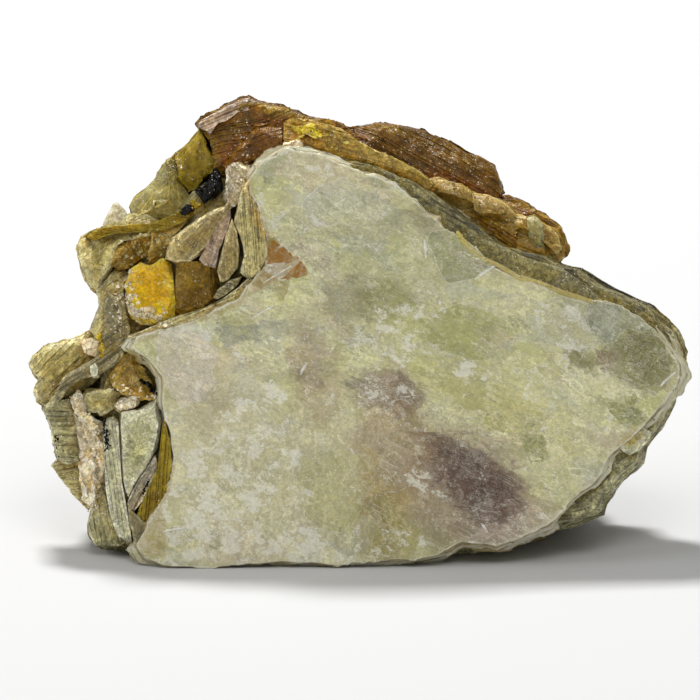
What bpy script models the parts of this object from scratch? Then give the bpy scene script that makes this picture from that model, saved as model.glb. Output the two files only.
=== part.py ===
"""Mica crystal: a hand specimen of muscovite books grown together, with grains of black tourmaline
and feldspar caught between them.

The specimen is drawn with its big cleavage face upright in the X-Z plane and depth running back
along +Y, in millimetres. It then leans back and is trimmed level where it stands, so the origin is
the point at the middle of its resting face. +X is to the right of the big face and +Z is up.
"""

import math
from dataclasses import dataclass

import bmesh
import bpy
from mathutils import Matrix, Vector, noise

MM = 0.001

# Driving dimensions, in millimetres and degrees.
LEAN = 14.0  # how far the big cleavage face leans back
FRONT_TO_ORIGIN = 13.0  # depth of the origin behind the big face's lower edge
LOWEST_EDGE = -0.15  # height, on the leaning specimen, of the level on which it stands
SEAT_GAP = 0.3  # clearance around a grain held between the books
EDGE_WAVE = 3.5  # length of the waves in a sheet's broken edge
LAYER_CHANGE = 2.3  # how fast those waves change from sheet to sheet, against along the edge
LONGEST_SPAN = 6.0  # a longer straight stretch of an outline is broken in two
GROUND_SPAN = 200.0  # side of the block that trims the base

Outline = tuple[tuple[float, float], ...]
Ledges = tuple[tuple[float, float], ...]


@dataclass(frozen=True)
class Book:
    """A stack of sheets: an outline, and the ledges where it grows or shrinks on the way back.

    outline: points (right, up) in millimetres, clockwise from the top.
    ledges: (depth, growth) in millimetres from front to back; growth moves the outline outwards.
    slope: how much deeper the faces lie per millimetre to the right and per millimetre up.
    crown: how far the middle of the front face stands forward of its rim.
    drift: how far the sheets shift to the right and up per millimetre of depth.
    wander: how far a sheet's broken edge strays from its outline.
    """

    name: str
    outline: Outline
    ledges: Ledges
    slope: tuple[float, float] = (0.0, 0.0)
    crown: float = 0.0
    drift: tuple[float, float] = (0.0, 0.0)
    wander: float = 0.22


def slab(near: float, far: float, bevel: float = 0.5) -> Ledges:
    """Ledges of a plain stack from near to far: a bevelled front, one ledge half way, a bevelled back."""
    middle = (near + far) / 2
    return (
        (near, -bevel),
        (near + bevel, 0.0),
        (middle, -0.15),
        (middle + 0.3, 0.35),
        (far - bevel, 0.2),
        (far, -bevel),
    )


FRONT_BOOKS = (
    Book(
        "big_face_book",
        (
            (-8.75, 52.5), (-5.5, 52), (-2.5, 51), (0.5, 49.75), (4.75, 48), (8.75, 44.75),
            (12.75, 41), (16.75, 38), (20, 36.5), (24, 35), (28.75, 33.5), (32, 33), (35.5, 31),
            (38, 28.5), (40, 25.5), (40.25, 23.75), (38.5, 21), (36.5, 18.5), (34, 16),
            (31.5, 14), (29.5, 10.5), (26.25, 8), (23.5, 5), (20, 3.5), (17, 2.5), (12.75, 3),
            (10, 1.5), (7, 0.75), (1.25, 0.5), (-3, 0), (-6.25, 0.5), (-12, 0.5), (-18, -0.25),
            (-24.5, 0), (-27.25, 1), (-28.25, 3), (-26.25, 6.5), (-24.5, 9.75), (-23.5, 13.5),
            (-24.25, 18), (-25, 21), (-25, 23.75), (-26.5, 25.75), (-29, 27.5), (-28, 29),
            (-25, 30), (-21.25, 31), (-18, 32.5), (-15.25, 34), (-13.75, 36), (-12.25, 38.25),
            (-12, 41.5), (-12.75, 44.75), (-14, 47), (-14, 48.75), (-12.75, 50.5), (-11, 51.5),
        ),
        ((0, -0.5), (0.4, 0), (1.6, 0.1), (1.8, 0.5), (3.2, 0.4), (3.5, 1.0), (5.5, 0.7)),
    ),
    Book(
        "upper_edge_book",
        (
            (-12.25, 51), (-10.5, 52.25), (-7.5, 52.75), (-3.75, 52.75), (0, 52), (3, 51),
            (6.25, 49.5), (9, 47.75), (12, 45.5), (15, 43.25), (18, 41), (21.25, 40),
            (23.75, 39.5), (25.75, 38.25), (28, 37.75), (30.5, 36), (33.75, 34.5), (37, 33),
            (39, 31), (40.5, 28.75), (41.25, 26.5), (40.5, 24), (36, 20), (24, 18), (8, 28),
            (-6, 38), (-12, 46),
        ),
        ((1.2, -2.4), (3, -1.5), (3.3, -1.1), (5.5, -0.6), (5.8, -0.2), (7.5, 0), (10, -0.3)),
    ),
    Book(
        "right_edge_book",
        (
            (35, 33.5), (38, 32), (40, 29.75), (41.25, 27), (41, 24.5), (40.25, 23.25),
            (40, 21.25), (39, 19), (38, 17), (36.25, 15), (35.75, 13), (34.75, 12),
            (33.25, 10.75), (32, 9), (31, 8), (30.75, 6.5), (30, 6), (27.5, 5), (25, 4.5),
            (23, 3.5), (18.75, 2), (13.75, 1.5), (8, 3), (11, 21), (25, 30),
        ),
        ((2.5, -1.6), (4.5, -0.9), (4.8, -0.5), (8, -0.2), (8.3, 0.1), (12, 0), (15, -0.5),
         (17, -1.6)),
    ),
    Book(
        "bowl_lip",
        (
            (-29, 28.75), (-26.25, 30), (-22.5, 31.5), (-19.5, 32.5), (-17, 33.75),
            (-15, 35.25), (-13.5, 36.5), (-13, 34.75), (-15.25, 33), (-18.5, 31.5),
            (-22.5, 30.25), (-27, 28.5),
        ),
        slab(0.2, 6.2, 0.3),
    ),
    Book(
        "lower_left_book",
        (
            (-29.25, 8), (-26.75, 6), (-25, 8.5), (-23.75, 4.75), (-24.5, 1), (-27.25, 1),
            (-28.25, 2.75), (-29, 5.5),
        ),
        slab(0.4, 8, 0.6),
    ),
)

CREST_BOOKS = (
    Book(
        "crest_book",
        (
            (-20.5, 55.5), (-20, 56), (-18, 57), (-16.25, 58), (-15, 58.75), (-13.75, 59),
            (-12.5, 58.5), (-10.5, 58), (-8.75, 57.5), (-7, 56.5), (-5, 56), (-3, 55.75),
            (-1.25, 55), (2, 50), (-9, 49), (-12.25, 51), (-15, 50.75), (-18, 50.75),
            (-19, 53),
        ),
        slab(4.8, 17, 0.8),
        slope=(0.02, 0.12),
    ),
    Book(
        "rusty_book",
        (
            (-18, 51), (-15.75, 52.5), (-13.75, 54.5), (-12.25, 55.75), (-9.75, 55.5),
            (-9.75, 52.5), (-12, 51.75), (-13.75, 50.5), (-15, 49), (-16, 48), (-17, 49.5),
        ),
        slab(3.4, 10),
        slope=(-0.12, 0.15),
    ),
    Book(
        "ridge_book",
        (
            (-9.75, 55.5), (-7.5, 56), (-5, 55.75), (-2.5, 55), (-0.75, 53.5), (1.5, 52.25),
            (4.5, 51), (7.5, 49.5), (9.5, 47.75), (7.5, 46), (3.75, 48), (0, 50),
            (-3.75, 51), (-7.5, 51.5), (-9.75, 52),
        ),
        slab(2.6, 9),
        slope=(0.05, 0.25),
    ),
    Book(
        "top_back_book",
        (
            (-2, 55), (0.5, 55.5), (3, 55.75), (5.5, 55.25), (8, 54.75), (10.5, 53.5),
            (13.5, 52), (15.5, 51.25), (17, 50.25), (17.75, 49), (18.5, 47.25), (18, 46.5),
            (20, 42), (8, 40), (-4, 48),
        ),
        ((9.5, -1.2), (10.5, -0.3), (14, 0), (14.3, -0.4), (21, -0.2), (23, -1.6)),
        slope=(0.03, 0.18),
    ),
    Book(
        "golden_book",
        (
            (9, 48.5), (10.5, 48.75), (12.75, 48.25), (15, 47), (17.5, 45.5), (20, 44.75),
            (22, 44), (23.75, 43.25), (25.25, 42.25), (26, 40.5), (26, 39), (25.25, 38),
            (24, 34), (16, 34), (9, 42),
        ),
        slab(6.5, 16, 0.9),
        slope=(0.0, 0.2),
        crown=0.5,
    ),
    Book(
        "right_ledge_book",
        (
            (16, 46.5), (18.75, 46.5), (21.25, 45.5), (23, 44.25), (24.5, 43.25), (25.5, 42.5),
            (26, 40.5), (25.25, 38.25), (22, 34), (14, 38),
        ),
        slab(9.5, 20, 0.8),
        slope=(0.08, 0.12),
    ),
)

UPPER_LEFT_BOOKS = (
    Book(
        "yellow_green_book",
        (
            (-21.25, 53.5), (-20.25, 55), (-19.5, 54), (-18.75, 52.5), (-18, 50.75),
            (-18.5, 49.5), (-19.5, 48.5), (-20.5, 47.5), (-21.5, 46.75), (-22.75, 48.5),
            (-23.25, 50.5), (-23.5, 51.5), (-22.5, 52.5),
        ),
        slab(5.2, 14),
        slope=(-0.2, 0.1),
        crown=0.5,
    ),
    Book(
        "left_upper_book",
        (
            (-23.5, 51.5), (-22.5, 50), (-21.5, 47.5), (-21, 46.25), (-22.25, 44.75),
            (-23.75, 43.5), (-26.25, 43.5), (-28.5, 43.25), (-29, 45.25), (-28.25, 46.5),
            (-27, 47.5), (-26, 48.5), (-25.5, 49.5), (-24.5, 51),
        ),
        slab(4.6, 15, 0.9),
        slope=(-0.1, 0.15),
        crown=0.9,
    ),
    Book(
        "left_shoulder_book",
        (
            (-35.5, 40.5), (-35, 41.5), (-34, 42.25), (-33, 42.5), (-31.75, 43), (-30, 43.75),
            (-28.75, 44.5), (-26.25, 44.5), (-24.5, 44.25), (-25, 41.75), (-27.5, 41),
            (-29.75, 40.75), (-30.5, 39), (-31, 37.5), (-32, 36), (-33, 34.75), (-33.75, 35),
            (-34.5, 36), (-35, 37.5), (-35.5, 39.25),
        ),
        slab(3.8, 14, 0.8),
        slope=(-0.15, 0.05),
        crown=0.6,
    ),
    Book(
        "standing_flake",
        (
            (-32.25, 43), (-31.5, 44.5), (-31, 45.5), (-30.5, 45.75), (-29.75, 45),
            (-29.25, 44.25), (-29.5, 42.5),
        ),
        ((7.8, -0.1), (7.9, 0.0), (8.7, 0.0), (8.8, -0.1)),
    ),
    Book(
        "rubble_book",
        (
            (-29.75, 41), (-27.5, 42.25), (-26, 42.75), (-25.5, 41), (-26.25, 39.5),
            (-27.25, 38.25), (-28.75, 37.5), (-30.25, 37.5), (-30.5, 38.75),
        ),
        slab(3.2, 12, 0.7),
        slope=(0.1, -0.1),
        crown=0.5,
    ),
    Book(
        "hollow_book",
        (
            (-26, 42.75), (-23.5, 43.75), (-21.75, 45), (-20, 45.5), (-20.5, 44.25),
            (-22, 42.75), (-23.5, 41.25), (-24, 39.5), (-25, 38.5), (-26.5, 38.25),
            (-26.25, 40.5),
        ),
        slab(3.4, 12.5),
        slope=(0.15, 0.1),
    ),
    Book(
        "upper_leaf",
        (
            (-16, 46.5), (-17, 45.25), (-19, 44.5), (-20.5, 43.5), (-22, 42.5), (-23.5, 41.25),
            (-24, 40), (-24.25, 38.75), (-23, 38.25), (-21, 38.5), (-19.5, 39.75),
            (-18.25, 41.25), (-17.25, 43.25), (-16, 45),
        ),
        ((1.4, -0.7), (1.8, 0), (2.6, -0.1), (2.8, 0.3), (7.3, 0)),
        slope=(0.02, 0.1),
        crown=0.4,
    ),
    Book(
        "lower_leaf",
        (
            (-16.25, 45), (-17.75, 43.5), (-18.75, 41.5), (-19.5, 40), (-20.25, 38.5),
            (-19.5, 37.75), (-18, 37.5), (-17.5, 39.75), (-16.5, 42), (-16, 44),
        ),
        ((1.6, -0.4), (2.0, 0), (2.8, 0), (6.9, 0)),
        slope=(0.2, 0.0),
    ),
    Book(
        "spindle",
        (
            (-16, 43.5), (-15.25, 42), (-15, 39.75), (-15.25, 37.5), (-16.5, 36),
            (-17.5, 35.75), (-18, 37), (-17.5, 39), (-17, 41), (-16.5, 42.5),
        ),
        ((1.0, -0.5), (1.6, 0), (6.6, 0)),
        slope=(-0.1, 0.0),
        crown=0.3,
    ),
    Book(
        "upright_sheets",
        (
            (-13.75, 48.75), (-15, 47), (-15.5, 45), (-15.75, 43.25), (-15, 41.5), (-14.5, 39),
            (-15, 37), (-13.75, 36), (-12.5, 36.75), (-11.5, 39), (-11.75, 41.75),
            (-12.5, 44.5), (-13.5, 46.75),
        ),
        ((0.2, -0.6), (0.8, 0), (2.4, 0.1), (7.7, 0.2)),
        slope=(-0.25, 0.0),
    ),
    Book(
        "amber_book",
        (
            (-28.75, 37.75), (-27.5, 38.5), (-26.25, 37.25), (-24.5, 39), (-23.5, 38.25),
            (-23, 35.5), (-23, 31.5), (-25, 30.5), (-27.5, 30.25), (-29, 31.5), (-29.5, 33.75),
            (-29.5, 36),
        ),
        slab(2.4, 13.4, 0.4),
        slope=(0.05, 0.05),
        crown=0.2,
    ),
    Book(
        "brown_book",
        (
            (-23.25, 38.25), (-21.25, 38.5), (-18, 38), (-17.5, 35.75), (-18, 33.75),
            (-20, 32.25), (-22.5, 31), (-23.25, 31),
        ),
        slab(3.4, 10, 0.3),
        slope=(0.1, -0.05),
    ),
    Book(
        "splinter",
        (
            (-18.5, 33.75), (-18, 34.75), (-16.25, 36), (-14.75, 36.5), (-15, 35.5),
            (-16.5, 34.25), (-17.75, 33.5),
        ),
        ((1.2, -0.2), (1.5, 0), (4.5, 0)),
    ),
)

LOWER_LEFT_BOOKS = (
    Book(
        "left_column",
        (
            (-33.25, 34.75), (-32, 36), (-30.5, 37.5), (-29, 37.25), (-29.5, 34.75),
            (-29, 32.25), (-28.5, 30.25), (-29.25, 28), (-30, 25.75), (-32, 24.25),
            (-33.25, 26.25), (-33.5, 28.75), (-34, 29.5), (-33.25, 31.25), (-32.75, 32.5),
            (-33, 33.75),
        ),
        slab(4, 14.6, 0.7),
        slope=(-0.15, 0.0),
        crown=0.4,
    ),
    Book(
        "far_left_book",
        (
            (-41.5, 25), (-41, 26.5), (-39.5, 27.75), (-37.5, 28.25), (-35.5, 29), (-34, 29.5),
            (-32.5, 29), (-31.75, 27.25), (-31.75, 24.75), (-33.5, 23), (-35.25, 21.75),
            (-36, 21), (-38.5, 21), (-39.75, 20), (-40.5, 21), (-41, 22), (-40.5, 23.25),
        ),
        slab(5.2, 15, 0.8),
        slope=(-0.18, 0.08),
        crown=0.5,
    ),
    Book(
        "left_flank_book",
        (
            (-40, 20), (-38.5, 21), (-35.75, 21), (-35, 18.5), (-35, 16), (-34.5, 13.75),
            (-36.25, 13), (-38, 13.5), (-38.5, 15), (-39, 17.5), (-39.5, 18.75),
        ),
        slab(5, 13, 0.6),
        slope=(-0.12, 0.0),
    ),
    Book(
        "pale_fan",
        (
            (-39, 12.75), (-38, 13.5), (-35.5, 13.75), (-34, 12.5), (-33.25, 10.5), (-33, 8.5),
            (-34, 7), (-34.5, 7.5), (-35.5, 8.5), (-36.75, 10), (-38, 11.5),
        ),
        ((6.2, -0.4), (6.5, 0), (7.8, -0.1), (8.0, -0.9), (10.5, -1.0)),
        slope=(-0.1, 0.1),
    ),
    Book(
        "large_nodule",
        (
            (-35, 20.75), (-34.25, 22), (-32.75, 22.5), (-31, 22.5), (-30, 21.75),
            (-30.25, 20.5), (-31, 19.75), (-32.5, 19), (-34, 19.25), (-35, 20),
        ),
        slab(2.6, 8, 0.8),
        crown=0.6,
    ),
    Book(
        "small_nodule",
        (
            (-31, 20.25), (-30.25, 21), (-28.75, 21.5), (-27.5, 21.5), (-27.5, 20.5),
            (-28.5, 19.75), (-30, 19.5),
        ),
        slab(1.9, 6),
        crown=0.4,
    ),
    Book(
        "crumbly_seam",
        (
            (-36, 19.5), (-35, 19.25), (-33.75, 18.5), (-32.5, 17.75), (-31.5, 15.5),
            (-31.5, 11.5), (-32.5, 8.5), (-33.75, 8), (-34.25, 10.5), (-35, 13.75),
            (-35.5, 16.5),
        ),
        slab(3.6, 10, 0.8),
        slope=(-0.25, 0.0),
        crown=0.3,
    ),
    Book(
        "amber_wedge",
        (
            (-30, 26.75), (-28.5, 27.25), (-27, 25), (-25.75, 23.25), (-25.25, 21),
            (-27.25, 20.75), (-29, 21.25), (-31, 22.5), (-31.75, 23.75),
        ),
        slab(2.8, 9),
        slope=(-0.1, 0.15),
    ),
    Book(
        "green_blade",
        (
            (-30, 19.5), (-27.75, 19.75), (-25.5, 20.75), (-25, 18), (-25.5, 15),
            (-26.5, 12.5), (-28, 10.5), (-29, 8.75), (-29.75, 11), (-30, 14.75),
        ),
        ((1.2, -0.5), (1.6, 0), (3, 0), (3.2, 0.4), (6, 0.4)),
        slope=(-0.15, 0.0),
    ),
    Book(
        "slim_blades",
        (
            (-32, 18.5), (-31, 18.75), (-30.25, 18), (-30, 14.75), (-29.75, 10.5),
            (-29, 6.5), (-28.5, 3), (-30, 3.5), (-31, 6), (-31.75, 9.75), (-32, 14),
        ),
        ((2.0, -0.4), (2.5, 0), (5, 0.2), (8, 0.4)),
        slope=(-0.35, 0.0),
    ),
    Book(
        "grey_blade",
        (
            (-25.5, 14.25), (-25, 12.75), (-26, 10.75), (-27, 8.5), (-28.25, 7), (-29, 6),
            (-29.25, 7.75), (-28.5, 9.5), (-27, 12),
        ),
        ((0.6, -0.3), (0.9, 0), (4, 0.2)),
        slope=(-0.12, 0.0),
    ),
    Book(
        "yellow_strip",
        (
            (-24.5, 18.5), (-23.75, 16.25), (-23.5, 12.75), (-24.25, 9.25), (-25.5, 6.75),
            (-26.75, 5.5), (-26.25, 8), (-25.25, 11), (-25, 14.75),
        ),
        ((0.2, -0.3), (0.5, 0), (4, 0.4)),
        slope=(-0.2, 0.0),
    ),
    Book(
        "bottom_left_book",
        (
            (-32.5, 12.25), (-31.75, 9.75), (-31, 6.25), (-29.5, 3), (-30.5, 2.25),
            (-32, 2), (-33, 2.5), (-34, 4), (-34.25, 5.5), (-33.75, 7), (-33.5, 9.5),
            (-33, 11.25),
        ),
        slab(4.2, 14, 0.8),
        slope=(-0.3, 0.0),
    ),
)

BACK_BOOKS = (
    Book(
        "heart_book",
        (
            (-26, 42), (-20.8, 48), (-11, 52), (-1, 52), (10, 47), (20, 39.5), (30, 32),
            (36, 27), (36, 20), (31, 11), (23, 3.5), (12, 1), (-4, 1.5), (-18, 0.5),
            (-27, 2.5), (-32, 9), (-33.5, 21), (-31, 31),
        ),
        ((5.35, -1), (8, 0), (12.2, 0.4), (15.1, 0), (15.5, -1.9), (18.3, -1.6), (18.7, -3.8),
         (23.2, -4.6)),
        wander=0.8,
    ),
    Book(
        "back_face_book",
        (
            (-22, 36), (-12, 43), (0, 46), (13, 41), (24, 32), (29, 20), (22, 9), (4, 3.5),
            (-14, 4), (-25, 14), (-27, 27),
        ),
        ((17.2, 0.6), (20.6, 0.3), (21.0, -1), (24.1, -0.9), (24.5, -2.6), (26.8, -2.4),
         (27.3, -4.3), (28.4, -5)),
        slope=(0.07, -0.08),
        drift=(0.25, 0.2),
        wander=1.2,
    ),
    Book(
        "back_cleft_book",
        ((-24, 26), (-16, 33), (-6, 34), (-1, 24), (-5, 11), (-17, 7), (-26, 14)),
        ((20, 0.5), (26, 0), (26.4, -1.3), (28.9, -1.1), (29.3, -2.8), (30.4, -3)),
        slope=(-0.1, 0.03),
        drift=(-0.2, -0.1),
        wander=1.0,
    ),
    Book(
        "back_upper_book",
        ((-20, 44), (-14, 52), (-4, 53.5), (6, 52), (12, 46), (2, 38), (-12, 36)),
        ((13, 0), (20.2, -0.3), (20.6, -1.4), (23.3, -1.8), (24.2, -3)),
        slope=(-0.08, 0.1),
        wander=0.6,
    ),
    Book(
        "back_right_book",
        ((18, 34), (30, 31.5), (36.5, 24), (34, 12), (25, 6), (16, 12)),
        ((12.4, 0), (17.4, -0.4), (17.8, -1.6), (21.4, -2), (22.3, -3)),
        slope=(0.15, 0.0),
        drift=(-0.1, 0.2),
        wander=0.8,
    ),
    Book(
        "back_shelf_book",
        ((6, 16), (14, 20), (26, 17), (31, 9), (22, 3.5), (9, 3)),
        ((13.2, 0), (19.6, 0.6), (20, -0.6), (23.6, -0.4), (24.3, -1.9)),
        slope=(0.05, 0.2),
        wander=0.8,
    ),
    Book(
        "back_left_book",
        (
            (-31, 38), (-24, 41), (-20, 32), (-22, 18), (-29, 5), (-33, 8), (-37, 17),
            (-38, 23), (-36.5, 27), (-32.5, 31),
        ),
        ((9.3, 0), (14.2, -0.4), (14.6, -1.4), (18.5, -1.8), (19.4, -3)),
        slope=(-0.2, 0.05),
        wander=0.7,
    ),
)

MICA_BOOKS = FRONT_BOOKS + CREST_BOOKS + UPPER_LEFT_BOOKS + LOWER_LEFT_BOOKS + BACK_BOOKS

TOURMALINE = Book(
    "black_tourmaline",
    (
        (-18, 50.25), (-17, 49), (-17.25, 47.25), (-18, 46.25), (-19.5, 45.5), (-20, 46),
        (-20.5, 47.25), (-19.5, 48.25), (-18.75, 49.25),
    ),
    ((3.6, -0.5), (4.3, 0), (9, -0.6)),
    slope=(0.0, 0.1),
    crown=0.3,
)
TOURMALINE_SLIVER = Book(
    "black_tourmaline_sliver",
    ((-22.75, 44.5), (-21.75, 45.5), (-20.5, 45), (-21.25, 44.25), (-22, 43.75)),
    ((2.5, -0.2), (2.9, 0), (5.5, -0.3)),
)
FELDSPAR_LUMP = Book(
    "feldspar_lump",
    (
        (-35, 28.5), (-34.5, 29), (-33.5, 29), (-32.5, 28.5), (-32.5, 27.25),
        (-33.25, 26.25), (-34.5, 26.5), (-35, 27.25),
    ),
    ((3.6, -0.6), (4.2, 0), (8, -0.4)),
    crown=0.4,
)
FELDSPAR_CREST_GRAIN = Book(
    "feldspar_crest_grain",
    ((-9.75, 52.5), (-9.75, 53.5), (-7.5, 53.75), (-7, 53), (-7.75, 52.5)),
    ((2.0, -0.2), (2.4, 0), (5.5, -0.2)),
)
FELDSPAR_CRUMBS = Book(
    "feldspar_crumbs",
    (
        (-29.25, 33.5), (-28, 34), (-27.25, 32.75), (-25.5, 33), (-25, 31.5),
        (-26.25, 30.75), (-28, 31), (-29, 32),
    ),
    ((1.7, -0.4), (2.1, 0), (5, -0.4)),
    slope=(0.0, 0.05),
    crown=0.3,
)
GRAINS = (
    (TOURMALINE, "black_tourmaline"),
    (TOURMALINE_SLIVER, "black_tourmaline"),
    (FELDSPAR_LUMP, "feldspar"),
    (FELDSPAR_CREST_GRAIN, "feldspar"),
    (FELDSPAR_CRUMBS, "feldspar"),
)

FINISHES = {  # name: (colour, roughness)
    "mica": ((0.52, 0.53, 0.36), 0.35),
    "black_tourmaline": ((0.012, 0.012, 0.016), 0.25),
    "feldspar": ((0.82, 0.66, 0.42), 0.55),
}


def stand(point: Vector) -> Vector:
    """Takes a point of the drawing, in millimetres, to the leaning specimen on its base, in metres."""
    leaned = Matrix.Rotation(math.radians(-LEAN), 3, "X") @ point
    return Vector((leaned.x, leaned.y - FRONT_TO_ORIGIN, leaned.z - LOWEST_EDGE)) * MM


def corners(outline: Outline) -> list[Vector]:
    """The outline's points, with one more half way along each long straight stretch."""
    points = [Vector(point) for point in outline]
    result = []
    for here, after in zip(points, points[1:] + points[:1], strict=True):
        result.append(here)
        if (after - here).length > LONGEST_SPAN:
            result.append((here + after) / 2)
    return result


def ring_points(book: Book, depth: float, growth: float, gap: float) -> list[Vector]:
    """The outline at one depth, grown from its middle, with a broken edge that wanders."""
    outline = corners(book.outline)
    centre = sum(outline, Vector((0, 0))) / len(outline)
    reach = sum((point - centre).length for point in outline) / len(outline)
    shift = Vector(book.drift) * (depth - book.ledges[0][0])
    points = []
    for point in outline:
        arm = point - centre
        stray = book.wander * noise.noise(Vector((point.x, point.y, LAYER_CHANGE * depth)) / EDGE_WAVE)
        arm *= 1 + (growth + stray) / reach
        arm += arm.normalized() * gap
        back = depth + book.slope[0] * arm.x + book.slope[1] * arm.y
        points.append(Vector((centre.x + arm.x + shift.x, back, centre.y + arm.y + shift.y)))
    return points


def book_rings(book: Book, gap: float) -> list[list[Vector]]:
    """The rings of a book from front to back, with the crown of its front face first."""
    ledges = list(book.ledges)
    ledges[0] = (ledges[0][0] - gap, ledges[0][1])
    ledges[-1] = (ledges[-1][0] + gap, ledges[-1][1])
    rings = [ring_points(book, depth, growth, gap) for depth, growth in ledges]
    if book.crown:
        middle = sum(rings[0], Vector()) / len(rings[0])
        forward = Vector((0, -book.crown, 0))
        rings.insert(0, [middle + (point - middle) * 0.5 + forward for point in rings[0]])
    return rings


def book_mesh(book: Book, gap: float = 0.0) -> bpy.types.Mesh:
    """A closed mesh of a book: its first ring is filled and extruded back through the others."""
    rings = book_rings(book, gap)
    bm = bmesh.new()
    face = bm.faces.new([bm.verts.new(stand(point)) for point in rings[0]])
    for ring in rings[1:]:
        face = extrude_to(bm, face, [stand(point) for point in ring])
    bmesh.ops.triangulate(bm, faces=bm.faces[:])
    bmesh.ops.recalc_face_normals(bm, faces=bm.faces[:])
    mesh = bpy.data.meshes.new(book.name)
    bm.to_mesh(mesh)
    bm.free()
    return mesh


def extrude_to(bm: bmesh.types.BMesh, face: bmesh.types.BMFace, points: list[Vector]) -> bmesh.types.BMFace:
    """Extrudes a cap face and puts the corners of the new cap at the points, in the cap's order."""
    is_inner = len(face.edges[0].link_faces) > 1
    made = bmesh.ops.extrude_face_region(bm, geom=[face])["geom"]
    cap = next(item for item in made if isinstance(item, bmesh.types.BMFace))
    if is_inner:
        bmesh.ops.delete(bm, geom=[face], context="FACES_ONLY")
    for vert, point in zip(cap.verts, points, strict=True):
        vert.co = point
    return cap


def add_object(name: str, mesh: bpy.types.Mesh, finish: str) -> bpy.types.Object:
    """Puts a mesh in the scene as one sub-part with its material."""
    mesh.materials.append(bpy.data.materials[finish])
    obj = bpy.data.objects.new(name, mesh)
    bpy.context.scene.collection.objects.link(obj)
    return obj


def add_tool(name: str, mesh: bpy.types.Mesh, tools: bpy.types.Collection) -> bpy.types.Object:
    """Puts a mesh in a collection of shapes that only join or cut."""
    obj = bpy.data.objects.new(name, mesh)
    obj.hide_render = True
    obj.display_type = "WIRE"
    tools.objects.link(obj)
    return obj


def new_tools(name: str) -> bpy.types.Collection:
    """An empty collection for joining or cutting shapes."""
    tools = bpy.data.collections.new(name)
    bpy.context.scene.collection.children.link(tools)
    tools.hide_render = True
    return tools


def join(obj: bpy.types.Object, tools: bpy.types.Collection) -> None:
    """Joins an object with everything in a collection."""
    modifier = obj.modifiers.new(tools.name, "BOOLEAN")
    modifier.operation = "UNION"
    modifier.operand_type = "COLLECTION"
    modifier.collection = tools
    modifier.solver = "EXACT"


def cut(obj: bpy.types.Object, tool: bpy.types.Object) -> None:
    """Cuts an object with another; the exact solver leaves open edges in so many crossing sheets."""
    modifier = obj.modifiers.new(tool.name, "BOOLEAN")
    modifier.operation = "DIFFERENCE"
    modifier.object = tool
    modifier.solver = "MANIFOLD"


def ground_mesh() -> bpy.types.Mesh:
    """The block below the level on which the specimen stands."""
    bm = bmesh.new()
    bmesh.ops.create_cube(bm, size=GROUND_SPAN * MM)
    bmesh.ops.translate(bm, verts=bm.verts[:], vec=(0, 0, -GROUND_SPAN * MM / 2))
    mesh = bpy.data.meshes.new("ground")
    bm.to_mesh(mesh)
    bm.free()
    return mesh


def clear_scene() -> None:
    """Removes whatever the scene holds at the start."""
    for obj in list(bpy.data.objects):
        bpy.data.objects.remove(obj)


def make_finishes() -> None:
    """One plain material for each kind of mineral."""
    for name, (colour, roughness) in FINISHES.items():
        material = bpy.data.materials.new(name)
        material.use_nodes = True
        shader = material.node_tree.nodes["Principled BSDF"]
        shader.inputs["Base Color"].default_value = (*colour, 1.0)
        shader.inputs["Roughness"].default_value = roughness
        shader.inputs["Metallic"].default_value = 0.0


def main() -> None:
    """Builds the joined mica books and the grains that they hold."""
    clear_scene()
    make_finishes()
    mica = add_object("mica_books", book_mesh(MICA_BOOKS[0]), "mica")
    joined = new_tools("joined_books")
    for book in MICA_BOOKS[1:]:
        add_tool(book.name, book_mesh(book), joined)
    join(mica, joined)
    cutters = new_tools("base_and_seats")
    cut(mica, add_tool("ground", ground_mesh(), cutters))
    for grain, finish in GRAINS:
        add_object(grain.name, book_mesh(grain), finish)
        cut(mica, add_tool(grain.name + "_seat", book_mesh(grain, SEAT_GAP), cutters))


main()
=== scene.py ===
"""The looks of a mica crystal: laminated muscovite books round one big pearly cleavage face.

Everything is drawn with the big cleavage face upright: x to the right, y back into the specimen and
z up, in millimetres. stand() takes the drawing to the specimen as it leans on its base, in metres.
"""

import logging
import math
import random
from bisect import bisect_left
from collections.abc import Iterable
from dataclasses import dataclass, field
from enum import Enum

import bmesh
import bpy
from mathutils import Euler, Matrix, Vector, noise
from mathutils.bvhtree import BVHTree
from mathutils.kdtree import KDTree


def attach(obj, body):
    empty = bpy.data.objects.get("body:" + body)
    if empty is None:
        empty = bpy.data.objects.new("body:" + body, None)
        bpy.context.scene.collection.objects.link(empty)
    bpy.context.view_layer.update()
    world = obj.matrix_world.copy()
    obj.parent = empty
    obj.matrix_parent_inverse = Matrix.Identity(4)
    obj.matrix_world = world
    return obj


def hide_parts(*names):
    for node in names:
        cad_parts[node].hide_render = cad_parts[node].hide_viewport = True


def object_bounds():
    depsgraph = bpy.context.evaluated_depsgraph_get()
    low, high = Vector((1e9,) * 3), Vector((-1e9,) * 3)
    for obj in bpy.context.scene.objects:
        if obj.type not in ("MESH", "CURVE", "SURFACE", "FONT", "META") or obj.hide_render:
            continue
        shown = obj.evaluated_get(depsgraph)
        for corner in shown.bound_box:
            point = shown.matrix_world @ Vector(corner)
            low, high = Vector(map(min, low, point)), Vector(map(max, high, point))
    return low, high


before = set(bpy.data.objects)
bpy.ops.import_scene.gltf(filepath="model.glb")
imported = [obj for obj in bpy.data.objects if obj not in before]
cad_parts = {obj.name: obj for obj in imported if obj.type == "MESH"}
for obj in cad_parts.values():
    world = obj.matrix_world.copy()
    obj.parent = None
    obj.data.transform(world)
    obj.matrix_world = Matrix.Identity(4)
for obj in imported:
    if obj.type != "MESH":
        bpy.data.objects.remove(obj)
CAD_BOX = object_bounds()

log = logging.getLogger("mica")

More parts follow.
